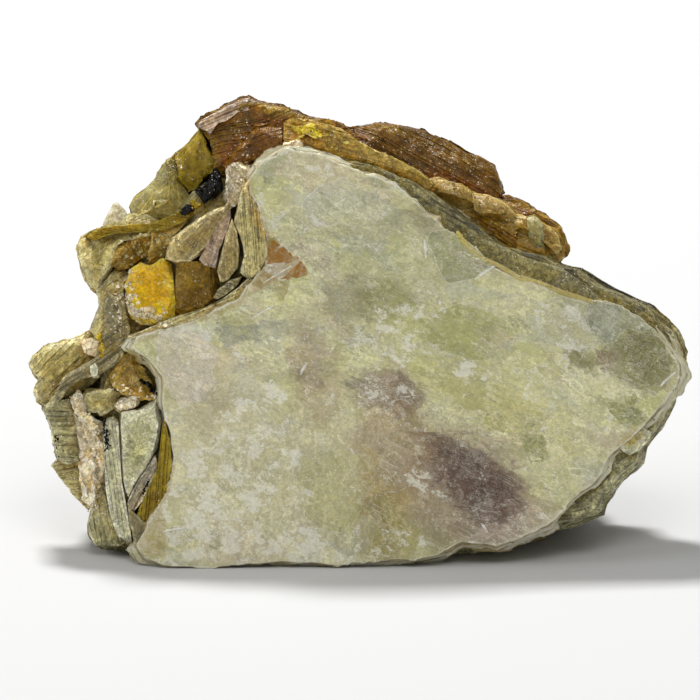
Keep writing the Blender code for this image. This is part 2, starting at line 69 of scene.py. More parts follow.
MM = 0.001
LEAN = math.radians(14.0)  # how far the big face leans back
ORIGIN_OFFSET = Vector((0.0, 13.0, -0.15))  # the frame's origin in the leaned drawing, in mm
BEVEL_STEPS = 3
LINE_GAP = 0.09  # width of the groove between two sheets, in mm
GROOVE = 0.1  # depth of that groove
EDGE_WAVE = 3.5  # length of the waves in a broken edge
CHIP_WAVE = 1.1  # length of the chips in it
LAYER_CHANGE = 2.3  # how fast those change from sheet to sheet, against along the edge
ROUNDNESS = 0.3  # how far outlines are curved between their points
CRACK_WIDTH = 0.12  # width of the white line where a sheet ends
FACET = 1.9  # size of a broken facet
FAR_FROM_RIM = 9.0
RIM_DEPTH = 1.0  # how far back the rim's looks hold before they fade
RIM_FADE = 0.5  # how fast they do
GAP_REACH = 1.6  # how far from a neighbour a surface still shows it
BOX_INSET = 0.02 * MM
FAN_RADIUS = 5.0  # where lines that fan out are as close together as parallel ones
Outline = tuple[tuple[float, float], ...]
Ledges = tuple[tuple[float, float], ...]


def stand(point: Vector) -> Vector:
    """Takes a drawing point, in mm, to the standing specimen, in metres."""
    return (Matrix.Rotation(-LEAN, 3, "X") @ point - ORIGIN_OFFSET) * MM


def lay_down(point: Vector) -> Vector:
    """Takes a point of the standing specimen, in metres, back to the drawing, in mm."""
    return Matrix.Rotation(LEAN, 3, "X") @ (point / MM + ORIGIN_OFFSET)


def tint(code: str) -> tuple[float, float, float, float]:
    """A screen colour such as "8c7c50" as the linear colour that a shader takes."""
    parts = [int(code[i : i + 2], 16) / 255 for i in (0, 2, 4)]
    linear = [part / 12.92 if part < 0.04 else ((part + 0.055) / 1.055) ** 2.4 for part in parts]
    return (linear[0], linear[1], linear[2], 1.0)


class Graph:
    """Builds the nodes of one material, in the drawing's millimetres."""

    def __init__(self, name: str) -> None:
        """Starts a material with the drawing's coordinates ready as self.place.

        Args:
            name: the material's name.
        """
        self.material = bpy.data.materials.new(name)
        self.material.use_nodes = True
        self.tree = self.material.node_tree
        self.shader = self.tree.nodes["Principled BSDF"]
        coordinates = self.tree.nodes.new("ShaderNodeTexCoord")
        turn = Matrix.Rotation(LEAN, 3, "X")
        self.place = self.node(
            "ShaderNodeMapping",
            Vector=coordinates.outputs["Object"],
            Location=turn @ ORIGIN_OFFSET,
            Rotation=(LEAN, 0.0, 0.0),
            Scale=(1 / MM, 1 / MM, 1 / MM),
        ).outputs[0]

    def node(self, kind: str, settings: dict | None = None, **inputs: object) -> bpy.types.Node:
        """Adds a node.

        Args:
            kind: the node's type.
            settings: its properties.
            inputs: values or sockets for its inputs, by name, with _ for a space.

        Returns:
            The new node.
        """
        made = self.tree.nodes.new(kind)
        for key, value in (settings or {}).items():
            setattr(made, key, value)
        for key, value in inputs.items():
            self.feed(made.inputs[key.replace("_", " ")], value)
        return made

    def feed(self, socket: bpy.types.NodeSocket, value: object) -> None:
        """Links a socket, or sets its value where what comes isn't a socket."""
        if isinstance(value, bpy.types.NodeSocket):
            self.tree.links.new(value, socket)
        else:
            socket.default_value = value

    def maths(self, operation: str, first: object, second: object = 0.0) -> bpy.types.NodeSocket:
        """The result of a sum, product or the like of two numbers."""
        made = self.node("ShaderNodeMath", {"operation": operation})
        self.feed(made.inputs[0], first)
        self.feed(made.inputs[1], second)
        return made.outputs[0]

    def vector(self, operation: str, first: object, second: object = (0, 0, 0)) -> bpy.types.NodeSocket:
        """The result of a sum, product or the like of two vectors."""
        made = self.node("ShaderNodeVectorMath", {"operation": operation})
        self.feed(made.inputs[0], first)
        self.feed(made.inputs[1], second)
        return made.outputs["Value" if operation == "LENGTH" else "Vector"]

    def scaled(self, vector: bpy.types.NodeSocket, factor: float) -> bpy.types.NodeSocket:
        """Coordinates stretched alike on every axis."""
        return self.vector("MULTIPLY", vector, (factor, factor, factor))

    def mapped(
        self,
        vector: bpy.types.NodeSocket,
        scale: tuple[float, float, float],
        turn: tuple[float, float, float] = (0, 0, 0),
        shift: tuple[float, float, float] = (0, 0, 0),
    ) -> bpy.types.NodeSocket:
        """Coordinates turned, in degrees, and then stretched.

        Args:
            vector: the coordinates.
            scale: their frequency along each turned axis.
            turn: angles in degrees.
            shift: where the pattern's middle lies.

        Returns:
            The new coordinates.
        """
        centred = self.vector("SUBTRACT", vector, shift)
        turned = self.node(
            "ShaderNodeMapping", Vector=centred, Rotation=tuple(math.radians(angle) for angle in turn)
        ).outputs[0]
        return self.vector("MULTIPLY", turned, scale)

    def noise(
        self, vector: bpy.types.NodeSocket, scale: float, detail: float = 4.0, rough: float = 0.55
    ) -> bpy.types.NodeSocket:
        """Noise from 0 to 1, at so many waves per unit of the coordinates."""
        return self.node(
            "ShaderNodeTexNoise", Vector=vector, Scale=scale, Detail=detail, Roughness=rough
        ).outputs["Fac"]

    def step(
        self, value: object, low: float, high: float, start: float = 0.0, end: float = 1.0
    ) -> bpy.types.NodeSocket:
        """A smooth step from start to end, as the value goes from low to high."""
        made = self.node(
            "ShaderNodeMapRange",
            {"interpolation_type": "SMOOTHSTEP"},
            Value=value,
            From_Min=low,
            From_Max=high,
            To_Min=start,
            To_Max=end,
        )
        return made.outputs["Result"]

    def mix(
        self, factor: object, first: object, second: object, blend: str = "MIX"
    ) -> bpy.types.NodeSocket:
        """One colour mixed into another."""
        made = self.node("ShaderNodeMix", {"data_type": "RGBA", "blend_type": blend})
        colours = [socket for socket in made.inputs if socket.type == "RGBA"]
        for socket, value in zip([made.inputs[0], *colours], (factor, first, second), strict=True):
            self.feed(socket, value)
        return next(socket for socket in made.outputs if socket.type == "RGBA")

    def attribute(self, name: str, output: str = "Fac") -> bpy.types.NodeSocket:
        """A value that the mesh carries."""
        made = self.node("ShaderNodeAttribute", {"attribute_name": name})
        return made.outputs[output]

    def grey(self, value: bpy.types.NodeSocket) -> bpy.types.NodeSocket:
        """A number as a grey colour."""
        return self.node("ShaderNodeCombineColor", Red=value, Green=value, Blue=value).outputs[0]

    def specks(
        self, vector: bpy.types.NodeSocket, scale: float, share: float, radius: float = 0.3
    ) -> bpy.types.NodeSocket:
        """Small round specks in some cells of a random pattern.

        Args:
            vector: the coordinates.
            scale: cells per unit.
            share: the share of cells that hold a speck.
            radius: the speck's radius against its cell.

        Returns:
            1 on a speck, else 0.
        """
        cells = self.node("ShaderNodeTexVoronoi", Vector=vector, Scale=scale)
        near = self.step(cells.outputs["Distance"], radius, radius * 0.5)
        picked = self.node("ShaderNodeSeparateColor", Color=cells.outputs["Color"]).outputs[0]
        return self.maths("MULTIPLY", near, self.maths("LESS_THAN", picked, share))

    def bumped(
        self, layers: Iterable[tuple[bpy.types.NodeSocket, float, float]], flicker: float = 0.0
    ) -> None:
        """Feeds the shader's normal.

        Args:
            layers: (height, strength, distance in mm) of each bump.
            flicker: how far tiny facets tilt, each its own way.
        """
        normal = self.node("ShaderNodeNewGeometry").outputs["Normal"]
        for scale in (1.4, 3.7) if flicker else ():
            cells = self.node("ShaderNodeTexVoronoi", Vector=self.place, Scale=scale).outputs["Color"]
            tilt = self.scaled(self.vector("SUBTRACT", cells, (0.5, 0.5, 0.5)), flicker)
            normal = self.vector("NORMALIZE", self.vector("ADD", normal, tilt))
        for height, strength, distance in layers:
            bump = self.node("ShaderNodeBump", Height=height, Strength=strength, Distance=distance * MM)
            self.feed(bump.inputs["Normal"], normal)
            normal = bump.outputs[0]
        self.feed(self.shader.inputs["Normal"], normal)

    def surface(self, **values: object) -> None:
        """Sets or links the shader's own inputs, by name, with _ for a space."""
        for key, value in values.items():
            self.feed(self.shader.inputs[key.replace("_", " ")], value)


@dataclass(frozen=True)
class SheetFinish:
    """Broken mica: smooth cleavage faces and fibrous sheet edges, with stains and painted glints.

    face and cloud are the two colours of a cleavage face; dark and pale are the lines of an edge, and dark
    is also the painted shade in the gaps between books; stain is iron that has crept in, over so much of
    the surface. thin is the colour where the sheets are thin, at the rim. lined and grainy are how strongly
    the lines and the grain show. sparkle is how many painted glints show.
    """

    face: str
    cloud: str
    dark: str
    pale: str
    stain: str
    stained: float = 0.3
    rough: float = 0.42
    glow: float = 0.0
    sparkle: float = 0.05
    seam: float = 0.3
    rim: float = 0.35
    shine: float = 0.35
    thin: str = ""
    lined: float = 0.45
    grainy: float = 0.5

    def material(self, name: str) -> bpy.types.Material:
        """Makes the finish as a material.

        Args:
            name: the material's name.

        Returns:
            The material.
        """
        graph = Graph(name)
        sway = graph.node("ShaderNodeTexNoise", Vector=graph.place, Scale=0.5, Detail=3.0).outputs["Color"]
        where = graph.vector("ADD", graph.place, graph.scaled(sway, 1.6))
        fibre, fine = self.fibres(graph, where)
        colour = self.cleavage(graph, where)
        colour = self.edges(graph, colour, fibre, fine)
        gap = graph.attribute("gap")
        iron = graph.noise(graph.vector("ADD", where, (31.0, 7.0, 12.0)), 0.3, 7.0, 0.7)
        level = graph.maths("ADD", iron, graph.step(gap, 1.6, 0.0, 0.0, 0.26))
        limit = 0.72 - 0.36 * self.stained
        colour = graph.mix(graph.step(level, limit, limit + 0.14, 0.0, 0.7), colour, tint(self.stain))
        if self.thin:
            wavy = graph.maths("MULTIPLY", graph.noise(where, 0.6, 5.0, 0.65), 2.4)
            reach = graph.maths("ADD", graph.attribute("border"), wavy)
            colour = graph.mix(graph.step(reach, 2.6, 1.1, 0.0, 0.8), colour, tint(self.thin))
        colour = self.rimmed(graph, colour, where)
        # Painted shade: the colour goes towards dark close to another book, where shade falls in the gap
        # between them.
        ragged = graph.maths("MULTIPLY", graph.noise(where, 1.5, 5.0, 0.7), 0.7)
        deep = graph.step(graph.maths("ADD", gap, ragged), 0.5, 0.26, 0.0, 0.22)
        colour = graph.mix(deep, colour, tint(self.dark))
        shade = graph.step(graph.attribute("sheet"), 0.0, 1.0, 0.82, 1.14)
        colour = graph.mix(1.0, colour, graph.grey(shade), "MULTIPLY")
        grain = graph.noise(graph.place, 1.9, 8.0, 0.78)
        shade = graph.step(grain, 0.3, 0.7, 1 - 0.36 * self.grainy, 1 + 0.34 * self.grainy)
        colour = graph.mix(1.0, colour, graph.grey(shade), "MULTIPLY")
        colour = self.flaked(graph, colour, where)
        colour = self.painted_glints(graph, colour)
        graph.bumped(
            [
                (graph.maths("MULTIPLY", fibre, graph.attribute("edge")), 0.6, 0.2),
                (fine, 0.2, 0.06),
                (grain, 0.3 + 0.5 * self.grainy, 0.2),
            ],
            flicker=0.16 + 0.4 * self.grainy,
        )
        rough = graph.step(grain, 0.3, 0.7, self.rough - 0.16, self.rough + 0.1)
        graph.surface(Base_Color=colour, Roughness=rough, IOR=1.58, Specular_IOR_Level=self.shine)
        if self.glow:
            graph.surface(
                Subsurface_Weight=self.glow, Subsurface_Radius=(1.0, 0.55, 0.12), Subsurface_Scale=0.003
            )
        return graph.material

    def flaked(
        self, graph: Graph, colour: bpy.types.NodeSocket, where: bpy.types.NodeSocket
    ) -> bpy.types.NodeSocket:
        """Gives each small flake its own brightness, with crisp edges."""
        for scale, gain in ((0.8, 0.14), (1.9, 0.2), (4.2, 0.24)):
            gain *= 0.5 + self.grainy
            cells = graph.node("ShaderNodeTexVoronoi", Vector=where, Scale=scale).outputs["Color"]
            level = graph.node("ShaderNodeSeparateColor", Color=cells).outputs[1]
            shade = graph.grey(graph.step(level, 0.0, 1.0, 1 - gain, 1 + gain))
            colour = graph.mix(1.0, colour, shade, "MULTIPLY")
        return colour

    def painted_glints(self, graph: Graph, colour: bpy.types.NodeSocket) -> bpy.types.NodeSocket:
        """Adds painted glints: tiny near-white specks in the colour, gathered in swarms."""
        swarm = graph.step(graph.noise(graph.place, 0.5, 4.0, 0.6), 0.42, 0.6, 0.1, 0.95)
        # Painted glints: each speck turns the colour near white.
        for scale, share in ((3.1, 0.8), (5.4, 2.0)):
            painted_glint = graph.specks(graph.place, scale, self.sparkle * share, 0.4)
            colour = graph.mix(graph.maths("MULTIPLY", painted_glint, swarm), colour, tint("fff8e8"))
        return colour

    def fibres(
        self, graph: Graph, where: bpy.types.NodeSocket
    ) -> tuple[bpy.types.NodeSocket, bpy.types.NodeSocket]:
        """The lines of the sheets, coarse and fine, that run on along each sheet.

        Args:
            graph: the material's nodes.
            where: the wandering coordinates.

        Returns:
            The coarse and the fine lines, each from 0 to 1.
        """
        across = graph.attribute("across")
        along = graph.scaled(where, 0.22)
        lines = []
        for density, detail, rough in ((1.7, 6.0, 0.62), (7.0, 4.0, 0.6)):
            spread = graph.node("ShaderNodeCombineXYZ", X=graph.maths("MULTIPLY", across, density))
            lines.append(graph.noise(graph.vector("ADD", along, spread.outputs[0]), 1.0, detail, rough))
        return lines[0], lines[1]

    def cleavage(self, graph: Graph, where: bpy.types.NodeSocket) -> bpy.types.NodeSocket:
        """The colour of a cleavage face: clouds, films of air and deep places."""
        broad = graph.noise(where, 0.2, 6.0, 0.6)
        small = graph.noise(graph.vector("ADD", where, (5.0, 9.0, 3.0)), 0.6, 8.0, 0.72)
        colour = graph.mix(graph.step(broad, 0.4, 0.6), tint(self.face), tint(self.cloud))
        colour = graph.mix(graph.step(small, 0.55, 0.64, 0.0, 0.5), colour, tint(self.pale))
        return graph.mix(graph.step(small, 0.45, 0.34, 0.0, 0.6), colour, tint(self.dark))

    def edges(
        self,
        graph: Graph,
        colour: bpy.types.NodeSocket,
        fibre: bpy.types.NodeSocket,
        fine: bpy.types.NodeSocket,
    ) -> bpy.types.NodeSocket:
        """Adds the lines of the sheets' edges to a colour, and darkens the grooves between the sheets: a dark
        joint, deepened with painted shade.
        """
        lines = graph.mix(graph.step(fibre, 0.38, 0.52, 0.15, 1.0), tint(self.dark), tint(self.face))
        lines = graph.mix(graph.step(fibre, 0.55, 0.6, 0.0, 0.5), lines, tint(self.cloud))
        lines = graph.mix(graph.step(fine, 0.56, 0.7, 0.0, 0.6), lines, tint(self.pale))
        lines = graph.mix(graph.step(fine, 0.42, 0.32, 0.0, 0.4), lines, tint(self.dark))
        colour = graph.mix(graph.maths("MULTIPLY", graph.attribute("edge"), self.lined), colour, lines)
        # The grooves between the sheets darken: partly a dark joint, partly painted shade in the groove.
        patchy = graph.step(graph.noise(graph.place, 0.6, 4.0), 0.35, 0.65, 0.0, self.seam)
        seam = graph.maths("MULTIPLY", graph.attribute("groove"), patchy)
        return graph.mix(seam, colour, tint(self.dark))

    def rimmed(
        self, graph: Graph, colour: bpy.types.NodeSocket, where: bpy.types.NodeSocket
    ) -> bpy.types.NodeSocket:
        """Whitens the splintered rim of a cleavage face."""
        ragged = graph.maths("MULTIPLY", graph.noise(where, 1.4, 6.0, 0.75), 2.2)
        reach = graph.maths("ADD", graph.attribute("border"), ragged)
        glow = graph.step(reach, 3.2, 0.9, 0.0, self.rim * 0.5)
        rim = graph.step(reach, 1.45, 1.2, 0.0, min(1.0, self.rim * 1.8))
        return graph.mix(graph.maths("MAXIMUM", glow, rim), colour, tint(self.pale))


@dataclass(frozen=True)
class Stain:
    """A patch of another colour in the big face.

    centre: (right, up) in mm. radii: half sizes in mm along its own axes. turn: degrees
    anticlockwise. soft: how wide its edge is, against its size.
    """

    centre: tuple[float, float]
    radii: tuple[float, float]
    turn: float
    colour: str
    strength: float = 0.8
    soft: float = 0.25


@dataclass(frozen=True)
class PearlFinish:
    """The big cleavage face: sage green and pearly, stained, streaked and clouded with air films, with
    painted glints and painted highlights along its steps.

    layers: (waves per mm, level, gain) of the outlines of sheets that end inside the crystal.
    clouds: (colour, waves per mm, level). terraces: (waves per mm, steps, gain) of the low steps.
    """

    sage: str = "ccc798"
    green: str = "c2c084"
    film: str = "d9d6c0"
    rim: str = "eceada"
    border: str = "cdc8a6"
    gold: str = "9a8030"
    layers: tuple[tuple[float, float, float], ...] = (
        (0.07, 0.5, 1.07),
        (0.11, 0.54, 0.93),
        (0.17, 0.5, 1.06),
        (0.26, 0.56, 0.93),
        (0.42, 0.58, 1.08),
    )
    stains: tuple[Stain, ...] = (
        Stain((12.6, 9.4), (10.0, 7.0), -35, "8c7763", 0.75, 0.4),
        Stain((19.5, 4.5), (6.0, 3.6), 20, "b39f92", 0.6, 0.4),
        Stain((13.8, 11.0), (7.2, 3.9), -33, "685244", 0.95, 0.3),
        Stain((14.6, 10.6), (4.6, 2.2), -32, "5c483c", 0.7, 0.4),
        Stain((8.6, 15.8), (2.8, 1.4), -28, "5c4a40", 0.8, 0.3),
        Stain((3.3, 22.3), (4.6, 2.3), -6, "7e7062", 0.85, 0.3),
        Stain((4.6, 20.2), (2.3, 1.8), 0, "6e5c54", 0.75, 0.35),
        Stain((4.5, 15.0), (5.0, 8.5), 8, "9d8560", 0.6, 0.45),
        Stain((-2.4, 9.0), (3.6, 5.6), 4, "c2bc84", 0.6, 0.15),
        Stain((-14.0, 11.0), (12.0, 12.0), 0, "cac0a4", 0.45, 0.6),
        Stain((-12.0, 9.0), (4.6, 5.0), 0, "c2bc88", 0.4, 0.5),
        Stain((2.2, 7.0), (3.2, 7.0), 4, "9c8a52", 0.7, 0.3),
        Stain((4.0, 3.8), (3.0, 4.6), 6, "a59a5e", 0.6, 0.3),
        Stain((18.0, 19.5), (9.5, 2.6), -24, "b0aa60", 0.6, 0.5),
        Stain((22.0, 15.4), (1.3, 2.0), 15, "8e8f52", 0.85, 0.1),
        Stain((11.5, 30.3), (5.4, 3.4), -12, "b0ac74", 0.5, 0.35),
        Stain((14.0, 25.0), (9.5, 3.2), -16, "bab67c", 0.45, 0.5),
        Stain((-19.5, 21.0), (3.6, 3.4), 0, "c0b592", 0.6, 0.4),
        Stain((-1.2, 33.5), (3.4, 3.4), 0, "989270", 0.7, 0.3),
        Stain((-12.0, 38.6), (1.3, 3.6), 8, "967f34", 0.85, 0.35),
        Stain((-6.8, 26.6), (2.3, 4.4), 6, "a08b70", 0.6, 0.4),
        Stain((-5.0, 22.0), (3.2, 4.4), -8, "a18f72", 0.55, 0.5),
        Stain((9.0, 37.0), (2.4, 2.6), 0, "a09c70", 0.5, 0.4),
        Stain((7.0, 43.5), (2.4, 1.8), 0, "a19b72", 0.6, 0.4),
        Stain((3.4, 33.4), (3.3, 2.4), -10, "95925a", 0.65, 0.4),
        Stain((2.5, 38.0), (6.0, 2.5), -22, "a8a982", 0.5, 0.5),
        Stain((35.0, 26.4), (4.6, 3.6), -28, "83804e", 0.9, 0.22),
        Stain((31.2, 26.6), (1.6, 1.1), -10, "90765f", 0.85, 0.25),
        Stain((30.2, 31.0), (2.3, 2.4), 0, "98977f", 0.7, 0.25),
        Stain((27.0, 26.0), (2.4, 1.0), -28, "8c8654", 0.75, 0.3),
        Stain((33.0, 19.6), (2.2, 1.0), -20, "888644", 0.7, 0.3),
    )
    clouds: tuple[tuple[str, float, float], ...] = (
        ("c0b092", 0.16, 0.53),
        ("b9bba6", 0.2, 0.54),
        ("b4b27c", 0.14, 0.56),
        ("a0a27a", 0.3, 0.57),
        ("cec8a6", 0.5, 0.56),
    )
    terraces: tuple[tuple[float, float, float], ...] = ((0.14, 7.0, 0.1), (0.33, 6.0, 0.08))
    films: tuple[Stain, ...] = (
        Stain((-20.0, 5.0), (9.0, 5.0), 0, "", 1.0, 0.5),
        Stain((-15.0, 12.0), (9.0, 9.0), 0, "", 0.75, 0.6),
        Stain((-7.0, 2.0), (16.0, 2.6), 0, "", 0.9, 0.6),
        Stain((-12.5, 19.0), (5.0, 5.5), -20, "", 0.8, 0.6),
        Stain((-8.0, 46.0), (8.0, 6.0), 0, "", 0.45, 0.8),
        Stain((3.0, 27.5), (7.0, 2.4), -8, "", 0.85, 0.5),
        Stain((6.0, 32.0), (6.0, 2.4), 24, "", 0.8, 0.5),
        Stain((18.0, 23.8), (9.0, 2.2), -20, "", 0.55, 0.6),
        Stain((25.5, 29.6), (4.0, 4.4), -30, "", 0.8, 0.5),
        Stain((4.0, 21.4), (4.0, 1.0), 6, "", 1.0, 0.5),
        Stain((6.5, 10.4), (4.0, 1.6), -35, "", 0.8, 0.6),
        Stain((33.8, 16.4), (1.6, 2.2), 0, "", 1.0, 0.5),
        Stain((22.0, 4.0), (7.0, 2.4), 22, "", 0.7, 0.6),
        Stain((-23.0, 29.4), (4.6, 1.6), -12, "", 0.9, 0.5),
    )

    def mask(self, graph: Graph, where: bpy.types.NodeSocket, stain: Stain) -> bpy.types.NodeSocket:
        """How much of a stain each point has.

        Args:
            graph: the material's nodes.
            where: the face's coordinates, wandering so that the edge is ragged.
            stain: the patch.

        Returns:
            A number from 0 to the stain's strength.
        """
        right, up = stain.centre
        wide, high = stain.radii
        inner = graph.mapped(
            where, (1 / wide, 0.0, 1 / high), (0, stain.turn, 0), (right, 0.0, up)
        )
        reach = graph.vector("LENGTH", inner)
        return graph.step(reach, 1 + stain.soft, 1 - stain.soft, 0.0, stain.strength)

    def material(self, name: str) -> bpy.types.Material:
        """Makes the finish as a material.

        Args:
            name: the material's name.

        Returns:
            The material.
        """
        graph = Graph(name)
        place = graph.place
        broad = graph.node("ShaderNodeTexNoise", Vector=place, Scale=0.22, Detail=5.0, Roughness=0.6)
        where = self.shifted(graph, place, broad.outputs["Color"], 2.6)
        for scale, reach in ((0.5, 1.3), (1.5, 0.55), (3.6, 0.25)):
            shards = graph.node("ShaderNodeTexVoronoi", Vector=graph.mapped(place, (1, 1, 1.6), (0, -24, 0)))
            shards.inputs["Scale"].default_value = scale
            where = self.shifted(graph, where, shards.outputs["Color"], reach)
        colour = graph.mix(
            graph.step(graph.noise(where, 0.09, 3.0), 0.4, 0.64), tint(self.sage), tint(self.green)
        )
        colour = self.clouded(graph, colour, where)
        for stain in self.stains:
            colour = graph.mix(self.mask(graph, where, stain), colour, tint(stain.colour))
        patchy = graph.noise(graph.mapped(where, (1.0, 1.0, 1.5), (0, -20, 0)), 0.9, 7.0, 0.72)
        weight = graph.attribute("tone", "Alpha")
        tone = graph.attribute("tone", "Color")
        kept = graph.maths("MULTIPLY", weight, graph.step(patchy, 0.3, 0.55, 0.5, 1.0))
        colour = graph.mix(kept, colour, tone)
        colour = self.terraced(graph, colour, where)
        colour = self.layered(graph, colour, where)
        colour = self.streaked(graph, colour, where)
        colour = self.filmed(graph, colour, where)
        ragged = graph.step(patchy, 0.34, 0.56, 0.35, 0.9)
        vivid = graph.maths("MULTIPLY", graph.step(weight, 0.78, 0.9), ragged)
        colour = graph.mix(vivid, colour, tone)
        grain = graph.noise(place, 2.6, 6.0, 0.75)
        colour = graph.mix(1.0, colour, graph.grey(graph.step(grain, 0.3, 0.7, 0.87, 1.12)), "MULTIPLY")
        scratch = graph.noise(graph.mapped(place, (0.12, 0.12, 5.0), (0, -27, 0)), 1.0, 3.0, 0.7)
        scratched = graph.step(graph.noise(place, 0.16, 3.0), 0.45, 0.6, 0.0, 0.5)
        scratched = graph.maths("MULTIPLY", scratched, graph.step(scratch, 0.58, 0.66))
        colour = graph.mix(scratched, colour, tint(self.film))
        # Painted glints: near-white specks in the face's colour, gathered in swarms.
        swarm = graph.step(graph.noise(place, 0.35, 5.0, 0.65), 0.44, 0.6, 0.0, 0.85)
        for scale, share in ((2.3, 0.05), (4.6, 0.06)):
            painted_glint = graph.specks(place, scale, share, 0.26)
            colour = graph.mix(graph.maths("MULTIPLY", painted_glint, swarm), colour, tint("f4f2e8"))
        colour = self.edged(graph, colour, where)
        swell = graph.noise(place, 0.35, 4.0, 0.5)
        graph.bumped([(swell, 0.3, 0.5), (scratch, 0.3, 0.08), (grain, 0.4, 0.08)], flicker=0.05)
        graph.surface(
            Base_Color=colour,
            Roughness=graph.step(grain, 0.3, 0.7, 0.3, 0.48),
            IOR=1.58,
            Specular_IOR_Level=0.35,
            Subsurface_Weight=0.1,
            Subsurface_Radius=(1.0, 0.95, 0.6),
            Subsurface_Scale=0.001,
        )
        return graph.material

    def clouded(
        self, graph: Graph, colour: bpy.types.NodeSocket, where: bpy.types.NodeSocket
    ) -> bpy.types.NodeSocket:
        """Adds pinkish, grey and yellow-green clouds, each with some crisp edges."""
        for i, (cloud, size, level) in enumerate(self.clouds):
            shifted = graph.vector("ADD", where, (13.0 + 9.0 * i, 5.0, 41.0 - 7.0 * i))
            patch = graph.noise(graph.mapped(shifted, (0.8, 0.8, 1.4), (0, -24, 0)), size, 8.0, 0.66)
            colour = graph.mix(graph.step(patch, level, level + 0.06, 0.0, 0.6), colour, tint(cloud))
        return colour

    def terraced(
        self, graph: Graph, colour: bpy.types.NodeSocket, where: bpy.types.NodeSocket
    ) -> bpy.types.NodeSocket:
        """Adds low steps of cleavage, where each sheet pales towards the edge at which it broke.

        A thin pale line at that edge is a painted highlight.
        """
        for i, (size, steps, gain) in enumerate(self.terraces):
            shifted = graph.vector("ADD", where, (7.0 * i, 3.0, 23.0 * i))
            slope = graph.noise(graph.mapped(shifted, (0.7, 0.7, 1.6), (0, -24, 0)), size, 10.0, 0.62)
            ramp = graph.maths("FRACT", graph.maths("MULTIPLY", slope, steps))
            shown = graph.step(graph.noise(shifted, 0.13, 5.0, 0.6), 0.42, 0.56)
            shade = graph.grey(graph.step(ramp, 0.0, 1.0, 1.0 - gain, 1.0 + gain))
            colour = graph.mix(shown, colour, graph.mix(1.0, colour, shade, "MULTIPLY"))
            # Painted highlight: a thin pale line at the edge of each step.
            rim = graph.maths("MULTIPLY", graph.step(ramp, 0.86, 0.98, 0.0, 0.4), shown)
            colour = graph.mix(rim, colour, tint(self.rim))
        return colour

    def shifted(
        self, graph: Graph, where: bpy.types.NodeSocket, colour: bpy.types.NodeSocket, reach: float
    ) -> bpy.types.NodeSocket:
        """Coordinates that wander by a noise colour, up to half the reach each way, in mm."""
        centred = graph.vector("SUBTRACT", colour, (0.5, 0.5, 0.5))
        return graph.vector("ADD", where, graph.vector("MULTIPLY", centred, (reach, 0.0, reach)))

    def streaked(
        self, graph: Graph, colour: bpy.types.NodeSocket, where: bpy.types.NodeSocket
    ) -> bpy.types.NodeSocket:
        """Adds fibrous streaks: falling to the right over most of the face, upright low in its middle."""
        falling = graph.noise(graph.mapped(where, (0.2, 0.2, 1.5), (0, -22, 0)), 1.0, 9.0, 0.8)
        upright = graph.noise(graph.mapped(where, (1.6, 0.2, 0.2)), 1.0, 9.0, 0.8)
        low = self.mask(graph, where, Stain((-6, 8), (17, 13), 0, "", 1.0, 0.3))
        streak = graph.mix(low, graph.grey(falling), graph.grey(upright))
        bright = graph.node("ShaderNodeSeparateColor", Color=streak).outputs[0]
        return graph.mix(1.0, colour, graph.grey(graph.step(bright, 0.32, 0.68, 0.72, 1.27)), "MULTIPLY")

    def layered(
        self, graph: Graph, colour: bpy.types.NodeSocket, where: bpy.types.NodeSocket
    ) -> bpy.types.NodeSocket:
        """Adds the ragged outlines of sheets that end inside the crystal, some paler, some deeper.

        A thin pale line along each outline is a painted highlight.
        """
        for i, (size, level, gain) in enumerate(self.layers):
            shifted = graph.vector("ADD", where, (17.0 * i, 3.0, 11.0 * i))
            sheet = graph.noise(graph.mapped(shifted, (1.0, 1.0, 1.3), (0, -22, 0)), size, 9.0, 0.62)
            inside = graph.step(sheet, level, level + 0.02)
            colour = graph.mix(1.0, colour, graph.grey(graph.step(inside, 0, 1, 1.0, gain)), "MULTIPLY")
            # Painted highlight: a thin pale line along each outline.
            rim = graph.maths("MULTIPLY", inside, graph.step(sheet, level + 0.028, level + 0.012))
            colour = graph.mix(graph.maths("MULTIPLY", rim, 0.22), colour, tint(self.rim))
        return colour

    def filmed(
        self, graph: Graph, colour: bpy.types.NodeSocket, where: bpy.types.NodeSocket
    ) -> bpy.types.NodeSocket:
        """Adds white films of air between the sheets, cloudy, flecked and brightest at their rims."""
        ragged = graph.noise(graph.mapped(where, (1.0, 1.0, 1.25), (0, -20, 0)), 0.36, 9.0, 0.68)
        total = None
        for film in self.films:
            one = self.mask(graph, where, film)
            total = one if total is None else graph.maths("MAXIMUM", total, one)
        level = graph.maths("ADD", ragged, graph.maths("MULTIPLY", total, 0.13))
        fleck = graph.noise(graph.place, 4.4, 3.0, 0.7)
        thick = graph.maths("MULTIPLY", graph.step(level, 0.56, 0.68), graph.step(fleck, 0.3, 0.62))
        colour = graph.mix(graph.maths("MULTIPLY", thick, 0.5), colour, tint(self.film))
        ragged = graph.maths("MULTIPLY", fleck, 0.12)
        sharp = graph.maths("ADD", graph.maths("MULTIPLY", level, 0.88), ragged)
        white = graph.step(sharp, 0.6, 0.64, 0.0, 0.55)
        return graph.mix(white, colour, tint(self.rim))

